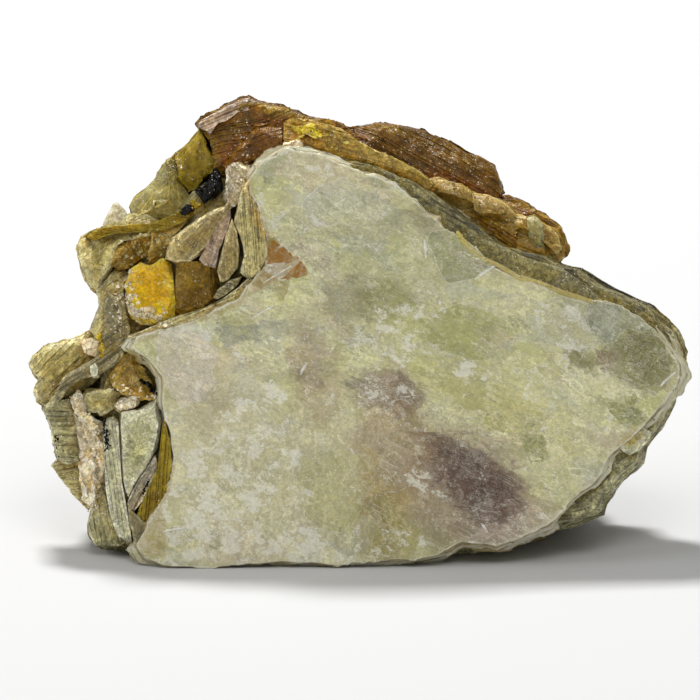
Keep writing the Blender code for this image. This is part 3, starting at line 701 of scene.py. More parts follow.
    def edged(
        self, graph: Graph, colour: bpy.types.NodeSocket, where: bpy.types.NodeSocket
    ) -> bpy.types.NodeSocket:
        """Adds the pale splintered border, and the lines of the sheets down the sides."""
        edge = graph.attribute("edge")
        near = graph.maths("ADD", graph.attribute("gap"), graph.noise(where, 1.2, 5.0, 0.7))
        colour = graph.mix(graph.step(near, 1.1, 0.6, 0.0, 0.6), colour, tint(self.gold))
        ragged = graph.maths("MULTIPLY", graph.noise(where, 0.5, 8.0, 0.74), 5.0)
        reach = graph.maths("ADD", graph.attribute("border"), ragged)
        colour = graph.mix(graph.step(reach, 3.4, 1.9, 0.0, 0.6), colour, tint(self.border))
        splinters = graph.maths("MULTIPLY", graph.noise(where, 1.6, 5.0, 0.7), 1.8)
        rim = graph.step(graph.maths("ADD", graph.attribute("border"), splinters), 1.35, 1.1, 0.0, 0.7)
        colour = graph.mix(rim, colour, tint(self.rim))
        spread = graph.node("ShaderNodeCombineXYZ", X=graph.maths("MULTIPLY", graph.attribute("across"), 8.0))
        lines = graph.noise(graph.vector("ADD", graph.scaled(graph.place, 0.3), spread.outputs[0]), 1.0, 5.0)
        side = graph.mix(graph.step(lines, 0.36, 0.6), tint("6d6230"), tint("d2cca6"))
        gold = graph.step(graph.noise(graph.place, 0.2, 3.0), 0.44, 0.6, 0.0, 0.6)
        side = graph.mix(gold, side, tint("a0842a"))
        colour = graph.mix(graph.maths("MULTIPLY", edge, 0.8), colour, side)
        rim = graph.maths("MULTIPLY", graph.step(edge, 0.05, 0.45), graph.step(edge, 0.95, 0.6))
        return graph.mix(graph.maths("MULTIPLY", rim, 0.5), colour, tint(self.rim))


@dataclass(frozen=True)
class TourmalineFinish:
    """Black tourmaline: nearly black and glassy, striated along its length, with tiny facets and painted
    glints.
    """

    black: str = "0b0b0e"
    brown: str = "1d1916"

    def material(self, name: str) -> bpy.types.Material:
        """Makes the finish as a material.

        Args:
            name: the material's name.

        Returns:
            The material.
        """
        graph = Graph(name)
        place = graph.place
        patches = graph.noise(place, 0.8, 5.0, 0.65)
        colour = graph.mix(graph.step(patches, 0.45, 0.68), tint(self.black), tint(self.brown))
        # Painted glints: pale specks in the black colour.
        painted_glint = graph.specks(place, 3.4, 0.07, 0.36)
        colour = graph.mix(graph.maths("MULTIPLY", painted_glint, 0.85), colour, tint("d8d4cc"))
        furrows = graph.noise(graph.mapped(place, (4.5, 1.0, 0.5), (0, -20, 0)), 1.0, 3.0)
        facets = graph.node("ShaderNodeTexVoronoi", Vector=place, Scale=1.7).outputs["Distance"]
        graph.bumped([(furrows, 0.4, 0.2), (facets, 0.5, 0.3)], flicker=0.7)
        rough = graph.step(patches, 0.3, 0.7, 0.12, 0.3)
        graph.surface(Base_Color=colour, Roughness=rough, IOR=1.63, Specular_IOR_Level=0.16)
        return graph.material


@dataclass(frozen=True)
class FeldsparFinish:
    """Feldspar: cream and pinkish, broken into small blocks, with rusty cracks."""

    cream: str = "fcf0cc"
    pink: str = "ecd2a0"
    rust: str = "ab7a34"

    def material(self, name: str) -> bpy.types.Material:
        """Makes the finish as a material.

        Args:
            name: the material's name.

        Returns:
            The material.
        """
        graph = Graph(name)
        place = graph.place
        cloud = graph.noise(place, 0.7, 5.0, 0.6)
        colour = graph.mix(graph.step(cloud, 0.4, 0.62), tint(self.cream), tint(self.pink))
        cracks = graph.node("ShaderNodeTexVoronoi", {"feature": "DISTANCE_TO_EDGE"}, Vector=place, Scale=1.1)
        line = graph.step(cracks.outputs["Distance"], 0.09, 0.01, 0.0, 0.7)
        colour = graph.mix(line, colour, tint(self.rust))
        grain = graph.noise(place, 4.0, 4.0, 0.7)
        colour = graph.mix(1.0, colour, graph.grey(graph.step(grain, 0.3, 0.7, 0.85, 1.1)), "MULTIPLY")
        graph.bumped([(cracks.outputs["Distance"], 0.5, 0.3), (grain, 0.5, 0.12)])
        graph.surface(
            Base_Color=colour,
            Roughness=graph.step(grain, 0.3, 0.7, 0.42, 0.62),
            IOR=1.53,
            Subsurface_Weight=0.15,
            Subsurface_Radius=(1.0, 0.7, 0.4),
            Subsurface_Scale=0.001,
        )
        return graph.material


class Finish(Enum):
    """The finishes of the minerals, one material each."""

    PEARL = PearlFinish()
    OLIVE_BAND = SheetFinish(
        "8c8354", "665d38", "181308", "d0c99c", "7d6c20", 0.25, 0.45, rim=0.1, lined=1.0, grainy=0.8
    )
    OLIVE_SHEET = SheetFinish(
        "9c9360", "827950", "3e3618", "cfc89c", "8f8030", 0.3, 0.4, seam=0.2, lined=0.95, grainy=0.8
    )
    GREEN_BEVEL = SheetFinish(
        "b4af80", "948f58", "38321c", "f0ecd2", "8c7c34", 0.2, 0.42, lined=0.95, grainy=0.8
    )
    BROWN = SheetFinish(
        "765204", "5a3c00", "281600", "ac8430", "7c4800", 0.4, 0.34, sparkle=0.07, rim=0.15, shine=0.25,
        thin="9c7c1c", lined=0.3, grainy=0.45,
    )
    RUST = SheetFinish(
        "704604", "4e3002", "221400", "98660e", "7c4c02", 0.5, 0.34, sparkle=0.05, rim=0.1, shine=0.25,
        thin="8c6008", lined=0.3, grainy=0.45,
    )
    GOLD = SheetFinish(
        "a4842a", "7c5c0c", "4a3204", "dcc274", "b07c0c", 0.35, 0.36, sparkle=0.06, shine=0.28,
        thin="bc9c34", lined=0.4, grainy=0.5,
    )
    PINK_GOLD = SheetFinish(
        "a8883e", "94742a", "5a400c", "d8c080", "a47c0c", 0.4, 0.34, 0.2, sparkle=0.06, shine=0.3,
        thin="bc9a48", lined=0.3, grainy=0.3,
    )
    YELLOW_GREEN = SheetFinish(
        "7c6606", "927a14", "4c3a00", "a8943c", "6c4c00", 0.3, 0.34, 0.25, sparkle=0.03, seam=0.15,
        rim=0.15, shine=0.2, thin="9c861c", lined=0.25, grainy=0.3,
    )
    OLIVE = SheetFinish(
        "c6b66a", "ac9646", "64501a", "f0e8bc", "947418", 0.3, 0.34, 0.1, thin="c8bc7c", lined=0.4,
        grainy=0.5,
    )
    SHOULDER = SheetFinish(
        "aa9a4a", "908034", "544410", "dcd4a0", "846a0e", 0.3, 0.34, 0.15, thin="b8b06c", lined=0.35,
        grainy=0.3,
    )
    LILAC = SheetFinish(
        "a69870", "887c54", "443a1c", "f4eedc", "9c7c34", 0.2, 0.34, sparkle=0.06, lined=0.7
    )
    LEAF = SheetFinish(
        "9c8438", "745a24", "38280c", "e0d098", "7c5c18", 0.3, 0.34, sparkle=0.06, rim=0.6,
        lined=0.9,
    )
    PINK_LEAF = SheetFinish(
        "c6a47a", "92724a", "3c280e", "fff0e0", "84602c", 0.25, 0.34, sparkle=0.06, rim=0.3, lined=0.75
    )
    FILM = SheetFinish("dcd6b8", "c6bd92", "94884c", "fcf8e8", "bcae5c", 0.2, 0.36, 0.3, rim=0.7)
    STACK = SheetFinish(
        "c0b26e", "a49250", "64521a", "ece6bc", "b48c1c", 0.3, 0.38, sparkle=0.05, lined=0.8
    )
    AMBER = SheetFinish(
        "f6c400", "ecb600", "b88600", "fce474", "f8d400", 0.4, 0.3, 0.4, sparkle=0.05, seam=0.1,
        shine=0.25, thin="e8bc1c", lined=0.3, grainy=0.35,
    )
    DARK_AMBER = SheetFinish(
        "94740c", "745604", "443000", "c8a858", "a88008", 0.3, 0.32, 0.25, sparkle=0.05, shine=0.28,
        lined=0.35, grainy=0.45,
    )
    CREAM = SheetFinish(
        "fff2cc", "f4dc98", "b08c44", "fffcf0", "e0a830", 0.2, 0.42, 0.15, sparkle=0.1, grainy=0.7
    )
    PALE_GREEN = SheetFinish(
        "c4c094", "a8a468", "5f5926", "f4f2e0", "ac902c", 0.2, 0.4, thin="d8d6b0", lined=0.6
    )
    MOSS = SheetFinish("aca46e", "8c8248", "4a4218", "e8e4c4", "a08424", 0.25, 0.4, thin="bcb680", lined=0.7)
    GREY_FIBRE = SheetFinish("8a7e52", "6e623a", "332b14", "d0c69c", "927c34", 0.2, 0.42, lined=0.8)
    TOURMALINE = TourmalineFinish()
    FELDSPAR = FeldsparFinish()
    PINK_CREAM = SheetFinish(
        "d4c6a0", "c4b082", "8c7446", "fff4e2", "c8a858", 0.12, 0.42, 0.1, sparkle=0.08, grainy=0.6
    )


@dataclass(frozen=True)
class Book:
    """A book of mica sheets.

    outline: points (right, up) in mm, clockwise from the top.
    ledges: (depth, growth) in mm from front to back; growth moves the outline outwards.
    lie: the direction across the sheets, as (right, back, up).
    sheet: how thick the sheets are that show. ragged: how far their broken edges stand back.
    rough: how far the surface is crumbled. facet: the height of its flat broken facets.
    bend: how far the sheets are bent. wander: how far the broken outline strays.
    lines: how many fine lines show across the sheets, against the usual. grain: the mesh's spacing.
    hinge: where the fine lines fan out from, as (right, up). rim_lines: they follow the outline.
    fibrous: how far they cross its face. chips and back_chips: how many flat breaks its front and its
    back have. smooth_front: only its sides are crumbled.
    """

    name: str
    outline: Outline
    ledges: Ledges
    finish: Finish
    slope: tuple[float, float] = (0.0, 0.0)
    crown: float = 0.0
    drift: tuple[float, float] = (0.0, 0.0)
    lie: tuple[float, float, float] | None = None
    sheet: float = 0.7
    ragged: float = 0.3
    rough: float = 0.06
    facet: float = 0.0
    bend: float = 0.25
    wander: float = 0.3
    lines: float = 1.0
    grain: float = 0.8
    hinge: tuple[float, float] | None = None
    rim_lines: bool = False
    fibrous: float = 0.0
    chips: int = 0
    back_chips: int = 0
    smooth_front: bool = False

    def rings(self) -> list[list[Vector]]:
        """The form's rings from front to back, each as drawing points.

        Returns:
            One list of points for each ring, all of one length.
        """
        points = rounded_outline(self.outline, self.grain)
        centre = sum(points, Vector((0.0, 0.0))) / len(points)
        reach = sum((point - centre).length for point in points) / len(points)
        start = self.ledges[0][0]
        rings = []
        for depth, growth in self.rounded():
            shift = Vector(self.drift) * (depth - start)
            ring = []
            for point in points:
                spot = Vector((point.x, point.y, LAYER_CHANGE * depth))
                stray = self.wander * (noise.noise(spot / EDGE_WAVE) + 0.4 * noise.noise(spot / CHIP_WAVE))
                arm = (point - centre) * (1 + (growth + stray) / reach)
                back = depth + self.slope[0] * arm.x + self.slope[1] * arm.y
                ring.append(Vector((centre.x + arm.x + shift.x, back, centre.y + arm.y + shift.y)))
            rings.append(ring)
        return rings

    @property
    def rim(self) -> list[Vector]:
        """Points close together along the outline, laid flat."""
        return [Vector((point.x, 0.0, point.y)) for point in rounded_outline(self.outline, 0.25)]

    def rounded(self) -> list[tuple[float, float]]:
        """The ledges with the first and the last bevel made round."""
        (near, inner), (front, outer) = self.ledges[0], self.ledges[1]
        result = [(near, inner)]
        for i in range(1, BEVEL_STEPS):
            angle = math.pi / 2 * i / BEVEL_STEPS
            result.append(
                (near + (front - near) * (1 - math.cos(angle)), inner + (outer - inner) * math.sin(angle))
            )
        return result + list(self.ledges[1:])

    def form(self) -> bmesh.types.BMesh:
        """The book's closed form, cut into a fine grid.

        Returns:
            A new bmesh in the drawing's mm.
        """
        rings = self.rings()
        bm = bmesh.new()
        face = bm.faces.new([bm.verts.new(point) for point in rings[0]])
        for ring in rings[1:]:
            face = extrude_to(bm, face, ring)
        self.chip(bm)
        bmesh.ops.recalc_face_normals(bm, faces=bm.faces[:])
        low, high = extent(bm)
        for axis in range(3):
            normal = Vector((0.0, 0.0, 0.0))
            normal[axis] = 1.0
            count = int((high[axis] - low[axis]) / self.grain)
            for i in range(1, count):
                cut(bm, normal, low[axis] + (high[axis] - low[axis]) * i / count)
        bmesh.ops.remove_doubles(bm, verts=bm.verts[:], dist=0.03)
        if self.crown:
            self.swell(bm)
        return bm

    def chip(self, bm: bmesh.types.BMesh) -> None:
        """Breaks the front and the back off flat in a few places, mostly at their corners."""
        rng = random.Random(self.name + " chips")
        low, high = extent(bm)
        deepest = min(1.6, 0.14 * (high.x - low.x))
        for facing in [-1.0] * self.chips + [1.0] * self.back_chips:
            angle = rng.uniform(0.0, math.tau)
            lean = rng.uniform(0.25, 1.5)
            normal = Vector((lean * math.cos(angle), facing, lean * math.sin(angle))).normalized()
            place = span(bm, normal)[1] - deepest * rng.uniform(0.4, 1.0)
            parts = bm.verts[:] + bm.edges[:] + bm.faces[:]
            made = bmesh.ops.bisect_plane(
                bm, geom=parts, dist=1e-5, plane_co=normal * place, plane_no=normal, clear_outer=True
            )
            edges = [item for item in made["geom_cut"] if isinstance(item, bmesh.types.BMEdge)]
            bmesh.ops.holes_fill(bm, edges=edges)

    def swell(self, bm: bmesh.types.BMesh) -> None:
        """Domes the front face, by how far each point of it is from its rim."""
        tree = KDTree(len(self.rim))
        for i, point in enumerate(self.rim):
            tree.insert(point, i)
        tree.balance()
        bm.normal_update()
        inner = [vert for vert in bm.verts if vert.normal.y < -0.9]
        reaches = [tree.find(Vector((vert.co.x, 0.0, vert.co.z)))[2] for vert in inner]
        widest = max(reaches, default=1.0)
        for vert, reach in zip(inner, reaches, strict=True):
            vert.co.y -= self.crown * (1 - (1 - reach / widest) ** 2)

    def across(self) -> Vector:
        """The unit direction across the sheets."""
        if self.lie is None:
            return Vector((-self.slope[0], 1.0, -self.slope[1])).normalized()
        return Vector(self.lie).normalized()

    def seams(self, bm: bmesh.types.BMesh, rng: random.Random) -> list[float]:
        """Cuts the lines between the sheets.

        Args:
            bm: the form.
            rng: the book's own random numbers.

        Returns:
            The place of each line, in mm along the direction across the sheets.
        """
        normal = self.across()
        low, high = span(bm, normal)
        places = []
        place = low + self.sheet * rng.uniform(0.4, 1.0)
        while place < high - 0.15:
            places.append(place)
            for side in (-0.5, 0.0, 0.5):
                cut(bm, normal, place + side * LINE_GAP)
            place += self.sheet * rng.choice((0.3, 0.5, 0.8, 1.0, 1.5, 2.1))
        return places

    def lay(self, bm: bmesh.types.BMesh, places: list[float], seed: float) -> None:
        """Sets each sheet back by its own broken edge, opens the lines, crumbles and bends the book.

        Args:
            bm: the form with its lines cut.
            places: where the lines are.
            seed: a number that makes this book's breaks its own.
        """
        normal = self.across()
        names = ("across", "edge", "sheet", "groove", "border")
        layers = {name: bm.verts.layers.float.new(name) for name in names}
        rim = KDTree(len(self.rim))
        for i, point in enumerate(self.rim):
            rim.insert(point, i)
        rim.balance()
        bm.normal_update()
        moves = []
        for vert in bm.verts:
            here = vert.co
            place = here.dot(normal)
            index = bisect_left(places, place)
            beside = [places[i] for i in (index - 1, index) if 0 <= i < len(places)]
            nearest = min((abs(place - other) for other in beside), default=9.0)
            outward = vert.normal - normal * vert.normal.dot(normal)
            side = min(1.0, max(0.0, (outward.length - 0.25) / 0.45))
            lie = 0.5 + 0.5 * noise.noise(Vector((index * 7.31, seed, 3.7)))
            wave = noise.noise(here / 2.6 + Vector((seed, index * 5.17, 0.0)))
            chip = noise.noise(here / 0.8 + Vector((seed, index * 3.3, 9.0)))
            back = self.ragged * (0.55 * lie + 0.45 * (0.5 + wave) + 0.3 * max(0.0, chip))
            groove = max(0.0, 1.0 - nearest / (0.5 * LINE_GAP)) * side
            crumble = noise.fractal(here / 1.7 + Vector((seed, 0.0, 4.0)), 0.9, 2.1, 4)
            broken = self.rough * crumble + self.facet * facet_height(here, seed)
            move = vert.normal * broken * (max(side, 0.04) if self.smooth_front else 1.0)
            if side:
                move -= outward.normalized() * (side * back + groove * GROOVE)
            swing = noise.noise_vector(here / 9.0 + Vector((2.0, seed * 0.1, 5.0)))
            move += normal * (self.bend * swing.x * max(side, 0.35))
            moves.append(move)
            reach = rim.find(Vector((here.x, 0.0, here.z)))[2]
            vert[layers["across"]] = self.lines * self.line_place(here, place, reach)
            vert[layers["edge"]] = max(side, self.fibrous)
            vert[layers["sheet"]] = lie
            vert[layers["groove"]] = groove
            behind = max(0.0, here.y - self.ledges[0][0] - RIM_DEPTH)
            vert[layers["border"]] = min(FAR_FROM_RIM, reach + RIM_FADE * behind)
        for vert, move in zip(bm.verts, moves, strict=True):
            vert.co += move

    def line_place(self, here: Vector, place: float, reach: float) -> float:
        """Where a spot lies across the fine lines.

        Args:
            here: the spot.
            place: its place across the sheets.
            reach: how far it is from the outline.

        Returns:
            A place in mm, or its like where the lines fan out.
        """
        if self.rim_lines:
            return reach + 0.4 * place
        if self.hinge is None:
            return place
        arm = Vector((here.x - self.hinge[0], here.z - self.hinge[1]))
        return math.atan2(arm.x, -arm.y) * FAN_RADIUS

    def build(self) -> bmesh.types.BMesh:
        """Builds the book, standing and trimmed level at the base.

        Returns:
            A new bmesh in metres.
        """
        seed = sum(ord(letter) for letter in self.name) * 0.37
        bm = self.form()
        places = self.seams(bm, random.Random(self.name))
        self.lay(bm, places, seed)
        finish_shell(bm)
        return bm


@dataclass(frozen=True)
class Flake:
    """A thin sheet left on the big face, with its own tone.

    outline: points (right, up) in mm. proud: how far it stands off the face. tone: its colour,
    mixed in by the weight. fade: (degrees, start, end) where it sinks into the face and its tone
    ends: the way in which that goes, and the places along it in mm. broken: how patchy its tone is.
    pale_edge: how white its broken edge is.
    """

    outline: Outline
    proud: float
    tone: str
    weight: float
    fade: tuple[float, float, float] | None = None
    wander: float = 0.26
    spacing: float = 0.2
    broken: float = 0.0
    pale_edge: float = 0.0

    def left(self, spot: Vector) -> float:
        """How much of the flake is left at a spot, from 0 to 1."""
        if self.fade is None:
            return 1.0
        degrees, start, end = self.fade
        place = spot.x * math.cos(math.radians(degrees)) + spot.y * math.sin(math.radians(degrees))
        share = min(1.0, max(0.0, (end - place) / (end - start)))
        return share * share * (3 - 2 * share)

    def build(self, surface: float) -> bmesh.types.BMesh:
        """Builds the flake on a face at this depth.

        Args:
            surface: the face's depth, in mm.

        Returns:
            A new bmesh in metres.
        """
        points = rounded_outline(self.outline, self.spacing)
        centre = sum(points, Vector((0.0, 0.0))) / len(points)
        bm = bmesh.new()
        rings = []
        for growth, height in ((-0.12, 1.0), (0.0, 0.6), (0.03, -1.0)):
            ring = []
            for point in points:
                arm = point - centre
                spot = Vector((point.x, point.y, 3.0))
                stray = self.wander * (noise.noise(spot / 0.9) + 0.6 * noise.noise(spot / 0.35))
                spot = centre + arm * (1 + (growth + stray) / max(arm.length, 0.5))
                ring.append(Vector((spot.x, surface - self.proud * height, spot.y)))
            rings.append(ring)
        face = bm.faces.new([bm.verts.new(point) for point in rings[0]])
        for ring in rings[1:]:
            face = extrude_to(bm, face, ring)
        bmesh.ops.recalc_face_normals(bm, faces=bm.faces[:])
        self.shade(bm, surface)
        finish_shell(bm)
        return bm

    def shade(self, bm: bmesh.types.BMesh, surface: float) -> None:
        """Gives the flake its tone, and sinks it where it fades."""
        if self.fade is not None:
            low, high = extent(bm)
            for axis in (0, 2):
                normal = Vector((0.0, 0.0, 0.0))
                normal[axis] = 1.0
                for i in range(1, int(high[axis] - low[axis])):
                    cut(bm, normal, low[axis] + i)
        tone = bm.verts.layers.float_color.new("tone")
        border = bm.verts.layers.float.new("border")
        gap = bm.verts.layers.float.new("gap")
        for vert in bm.verts:
            vert[border] = FAR_FROM_RIM
            vert[gap] = FAR_FROM_RIM
            left = self.left(Vector((vert.co.x, vert.co.z)))
            patch = 0.5 + noise.noise(vert.co / 0.7) * 1.6
            kept = 1 - self.broken * min(1.0, max(0.0, patch))
            is_edge = vert.co.y > surface - 0.8 * self.proud
            if is_edge and self.pale_edge:
                vert[tone] = (*tint("e6e3d0")[:3], self.pale_edge * left * kept)
            else:
                vert[tone] = (*tint(self.tone)[:3], self.weight * left * kept)
            if vert.co.y < surface:
                vert.co.y = surface + 0.02 - (surface + 0.02 - vert.co.y) * left


def extrude_to(bm: bmesh.types.BMesh, face: bmesh.types.BMFace, points: list[Vector]) -> bmesh.types.BMFace:
    """Extrudes a cap and puts the new cap's corners at the points.

    Args:
        bm: the mesh.
        face: the cap.
        points: the new corners, in the cap's order.

    Returns:
        The new cap.
    """
    is_inner = len(face.edges[0].link_faces) > 1
    made = bmesh.ops.extrude_face_region(bm, geom=[face])["geom"]
    cap = next(item for item in made if isinstance(item, bmesh.types.BMFace))
    if is_inner:
        bmesh.ops.delete(bm, geom=[face], context="FACES_ONLY")
    for vert, point in zip(cap.verts, points, strict=True):
        vert.co = point
    return cap


def cut(bm: bmesh.types.BMesh, normal: Vector, place: float) -> None:
    """Cuts a line round a mesh on a plane, leaving both sides."""
    bmesh.ops.bisect_plane(
        bm, geom=bm.verts[:] + bm.edges[:] + bm.faces[:], dist=1e-5, plane_co=normal * place, plane_no=normal
    )


def span(bm: bmesh.types.BMesh, direction: Vector) -> tuple[float, float]:
    """The least and greatest place of a mesh along a direction."""
    places = [vert.co.dot(direction) for vert in bm.verts]
    return min(places), max(places)


def extent(bm: bmesh.types.BMesh) -> tuple[Vector, Vector]:
    """The lowest and highest corners of a mesh."""
    low = Vector([min(vert.co[axis] for vert in bm.verts) for axis in range(3)])
    high = Vector([max(vert.co[axis] for vert in bm.verts) for axis in range(3)])
    return low, high


def rounded_outline(outline: Outline, spacing: float) -> list[Vector]:
    """A closed line through an outline's points, rounded a little, at about this spacing."""
    corners = [Vector(point) for point in outline]
    count = len(corners)
    result = []
    for i in range(count):
        before, here, after, beyond = (corners[(i + k) % count] for k in (-1, 0, 1, 2))
        steps = max(1, round((after - here).length / spacing))
        for step in range(steps):
            t = step / steps
            bend = (
                2 * here
                + (after - before) * t
                + (2 * before - 5 * here + 4 * after - beyond) * t * t
                + (3 * here - before - 3 * after + beyond) * t**3
            )
            result.append(here.lerp(after, t).lerp(bend / 2, ROUNDNESS))
    return result


def facet_height(here: Vector, seed: float) -> float:
    """How high a spot of broken mineral stands: flat facets that tilt each their own way.

    Args:
        here: the spot, in mm.
        seed: a number that makes this mineral's facets its own.

    Returns:
        A height from about -1 to 1.
    """
    spot = here / FACET + Vector((seed, seed * 0.7, 1.3))
    corner = noise.voronoi(spot)[1][0]
    tilt = noise.noise_vector(corner * 3.7)
    return 1.6 * tilt.dot(spot - corner) + 0.5 * noise.noise(corner * 5.1)


def in_box(place: Vector, floor: bool = True) -> Vector:
    """Keeps a spot just inside the specimen's box, above its floor too where that is asked."""
    low, high = CAD_BOX
    kept = Vector([min(max(place[i], low[i] + BOX_INSET), high[i] - BOX_INSET) for i in range(3)])
    if not floor:
        kept.z = min(place.z, kept.z)
    return kept


def finish_shell(bm: bmesh.types.BMesh) -> None:
    """Stands a drawn shell on its base, keeps it in the specimen's box and trims it level."""
    if "tone" not in bm.verts.layers.float_color:
        tone = bm.verts.layers.float_color.new("tone")
        for vert in bm.verts:
            vert[tone] = (0.0, 0.0, 0.0, 0.0)
    for vert in bm.verts:
        vert.co = in_box(stand(vert.co), floor=False)
    made = bmesh.ops.bisect_plane(
        bm,
        geom=bm.verts[:] + bm.edges[:] + bm.faces[:],
        dist=1e-7,
        plane_co=(0.0, 0.0, CAD_BOX[0].z + BOX_INSET),
        plane_no=(0.0, 0.0, 1.0),
        clear_inner=True,
    )
    edges = [item for item in made["geom_cut"] if isinstance(item, bmesh.types.BMEdge)]
    if edges:
        bmesh.ops.holes_fill(bm, edges=edges)
    bmesh.ops.dissolve_degenerate(bm, dist=2e-6, edges=bm.edges[:])


def drop_doubles(bm: bmesh.types.BMesh) -> None:
    """Takes out pairs of faces that lie back to back on the same corners."""
    seen: dict[frozenset[bmesh.types.BMVert], bmesh.types.BMFace] = {}
    doubled: set[bmesh.types.BMFace] = set()
    for face in bm.faces:
        twin = seen.setdefault(frozenset(face.verts), face)
        if twin is not face:
            doubled.update((twin, face))
    bmesh.ops.delete(bm, geom=list(doubled), context="FACES")


def slab(near: float, far: float, bevel: float = 0.3) -> Ledges:
    """Ledges of a plain stack from near to far."""
    middle = (near + far) / 2
    return (
        (near, -bevel),
        (near + bevel, 0.0),
        (middle, -0.15),
        (middle + 0.3, 0.2),
        (far - bevel, 0.1),
        (far, -bevel),
    )


@dataclass
class Ground:
    """The books as they stand, for what lies on them and what has gathered between them."""

    trees: dict[str, BVHTree] = field(default_factory=dict)
    boxes: dict[str, tuple[Vector, Vector]] = field(default_factory=dict)

    def add(self, book: Book) -> bmesh.types.BMesh:
        """Builds a book and remembers its surface.

        Args:
            book: the book.

        Returns:
            Its bmesh.
        """
        bm = book.build()
        self.trees[book.name] = BVHTree.FromBMesh(bm)
        self.boxes[book.name] = extent(bm)
        return bm

    def beside(self, name: str) -> list[BVHTree]:
        """The surfaces of the other books that come near a book."""
        low, high = self.boxes[name]
        reach = GAP_REACH * MM
        return [
            self.trees[other]
            for other, (bottom, top) in self.boxes.items()
            if other != name
            and all(low[i] - reach < top[i] and bottom[i] < high[i] + reach for i in range(3))
        ]

    def mark_gaps(self, name: str, bm: bmesh.types.BMesh) -> None:
        """Writes on a book how far each spot is from the nearest other book, in mm.

        Args:
            name: the book's name.
            bm: its mesh.
        """
        gap = bm.verts.layers.float.new("gap")
        trees = self.beside(name)
        for vert in bm.verts:
            least = GAP_REACH * MM
            for tree in trees:
                found = tree.find_nearest(vert.co, least)
                if found[0] is not None:
                    least = found[3]
            vert[gap] = least / MM

    def seen(self, right: float, up: float) -> tuple[Vector, Vector] | None:
        """The spot that shows from the front at a place, and the way it faces.

        Args:
            right: mm to the right.
            up: mm up the leaned face.

        Returns:
            The spot and its normal, in metres, or None past the specimen's rim.
        """
        start = stand(Vector((right, -20.0, up)))
        way = stand(Vector((right, -19.0, up))) - start
        hits = [tree.ray_cast(start, way) for tree in self.trees.values()]
        hits = [hit for hit in hits if hit[0] is not None]
        if not hits:
            return None
        nearest = min(hits, key=lambda hit: hit[3])
        return nearest[0], nearest[1]


@dataclass(frozen=True)
class Crumbs:
    """Broken bits of mineral that have grown along a seam, half sunk in what is there.

    path: the seam, as (right, up) in mm. spread: how far they stray from it. size: the least and
    the greatest, in mm. flat: how thin each is, against its width.
    """

    name: str
    path: Outline
    finish: Finish
    count: int
    spread: float = 0.8
    size: tuple[float, float] = (0.25, 0.8)
    flat: float = 0.45

    def spots(self, rng: random.Random) -> list[Vector]:
        """Random places along the seam, as (right, up) in mm."""
        ends = list(zip(map(Vector, self.path), map(Vector, self.path[1:])))
        lengths = [(there - here).length for here, there in ends]
        result = []
        for here, there in rng.choices(ends, lengths, k=self.count):
            stray = Vector((rng.gauss(0.0, self.spread), rng.gauss(0.0, self.spread)))
            result.append(here.lerp(there, rng.random()) + stray)
        return result

    def build(self, ground: Ground) -> bmesh.types.BMesh:
        """Builds the bits where they show.

        Args:
            ground: what they sit on.

        Returns:
            A new bmesh in metres.
        """
        rng = random.Random(self.name)
        bm = bmesh.new()
        names = ("across", "edge", "sheet", "groove", "border", "gap")
        layers = {name: bm.verts.layers.float.new(name) for name in names}
        tone = bm.verts.layers.float_color.new("tone")
        for spot in self.spots(rng):
            met = ground.seen(spot.x, spot.y)
            if met is None:
                continue
            size = rng.uniform(*self.size) * MM
            turn = Euler([rng.uniform(0.0, math.tau) for _ in range(3)]).to_matrix().to_4x4()
            shape = Matrix.Diagonal((size, size * rng.uniform(0.5, 1.0), size * self.flat, 1.0))
            place = Matrix.Translation(met[0] + met[1] * size * 0.05)
            made = bmesh.ops.create_cube(bm, size=1.0, matrix=place @ turn @ shape)["verts"]
            shade = rng.random()
            for vert in made:
                vert.co += Vector([rng.uniform(-0.28, 0.28) * size for _ in range(3)])
                vert.co = in_box(vert.co)
                vert[layers["across"]] = rng.random()
                vert[layers["sheet"]] = shade
                vert[layers["border"]] = 0.4
                vert[layers["gap"]] = FAR_FROM_RIM
                vert[tone] = (0.0, 0.0, 0.0, 0.0)
        bmesh.ops.recalc_face_normals(bm, faces=bm.faces[:])
        return bm


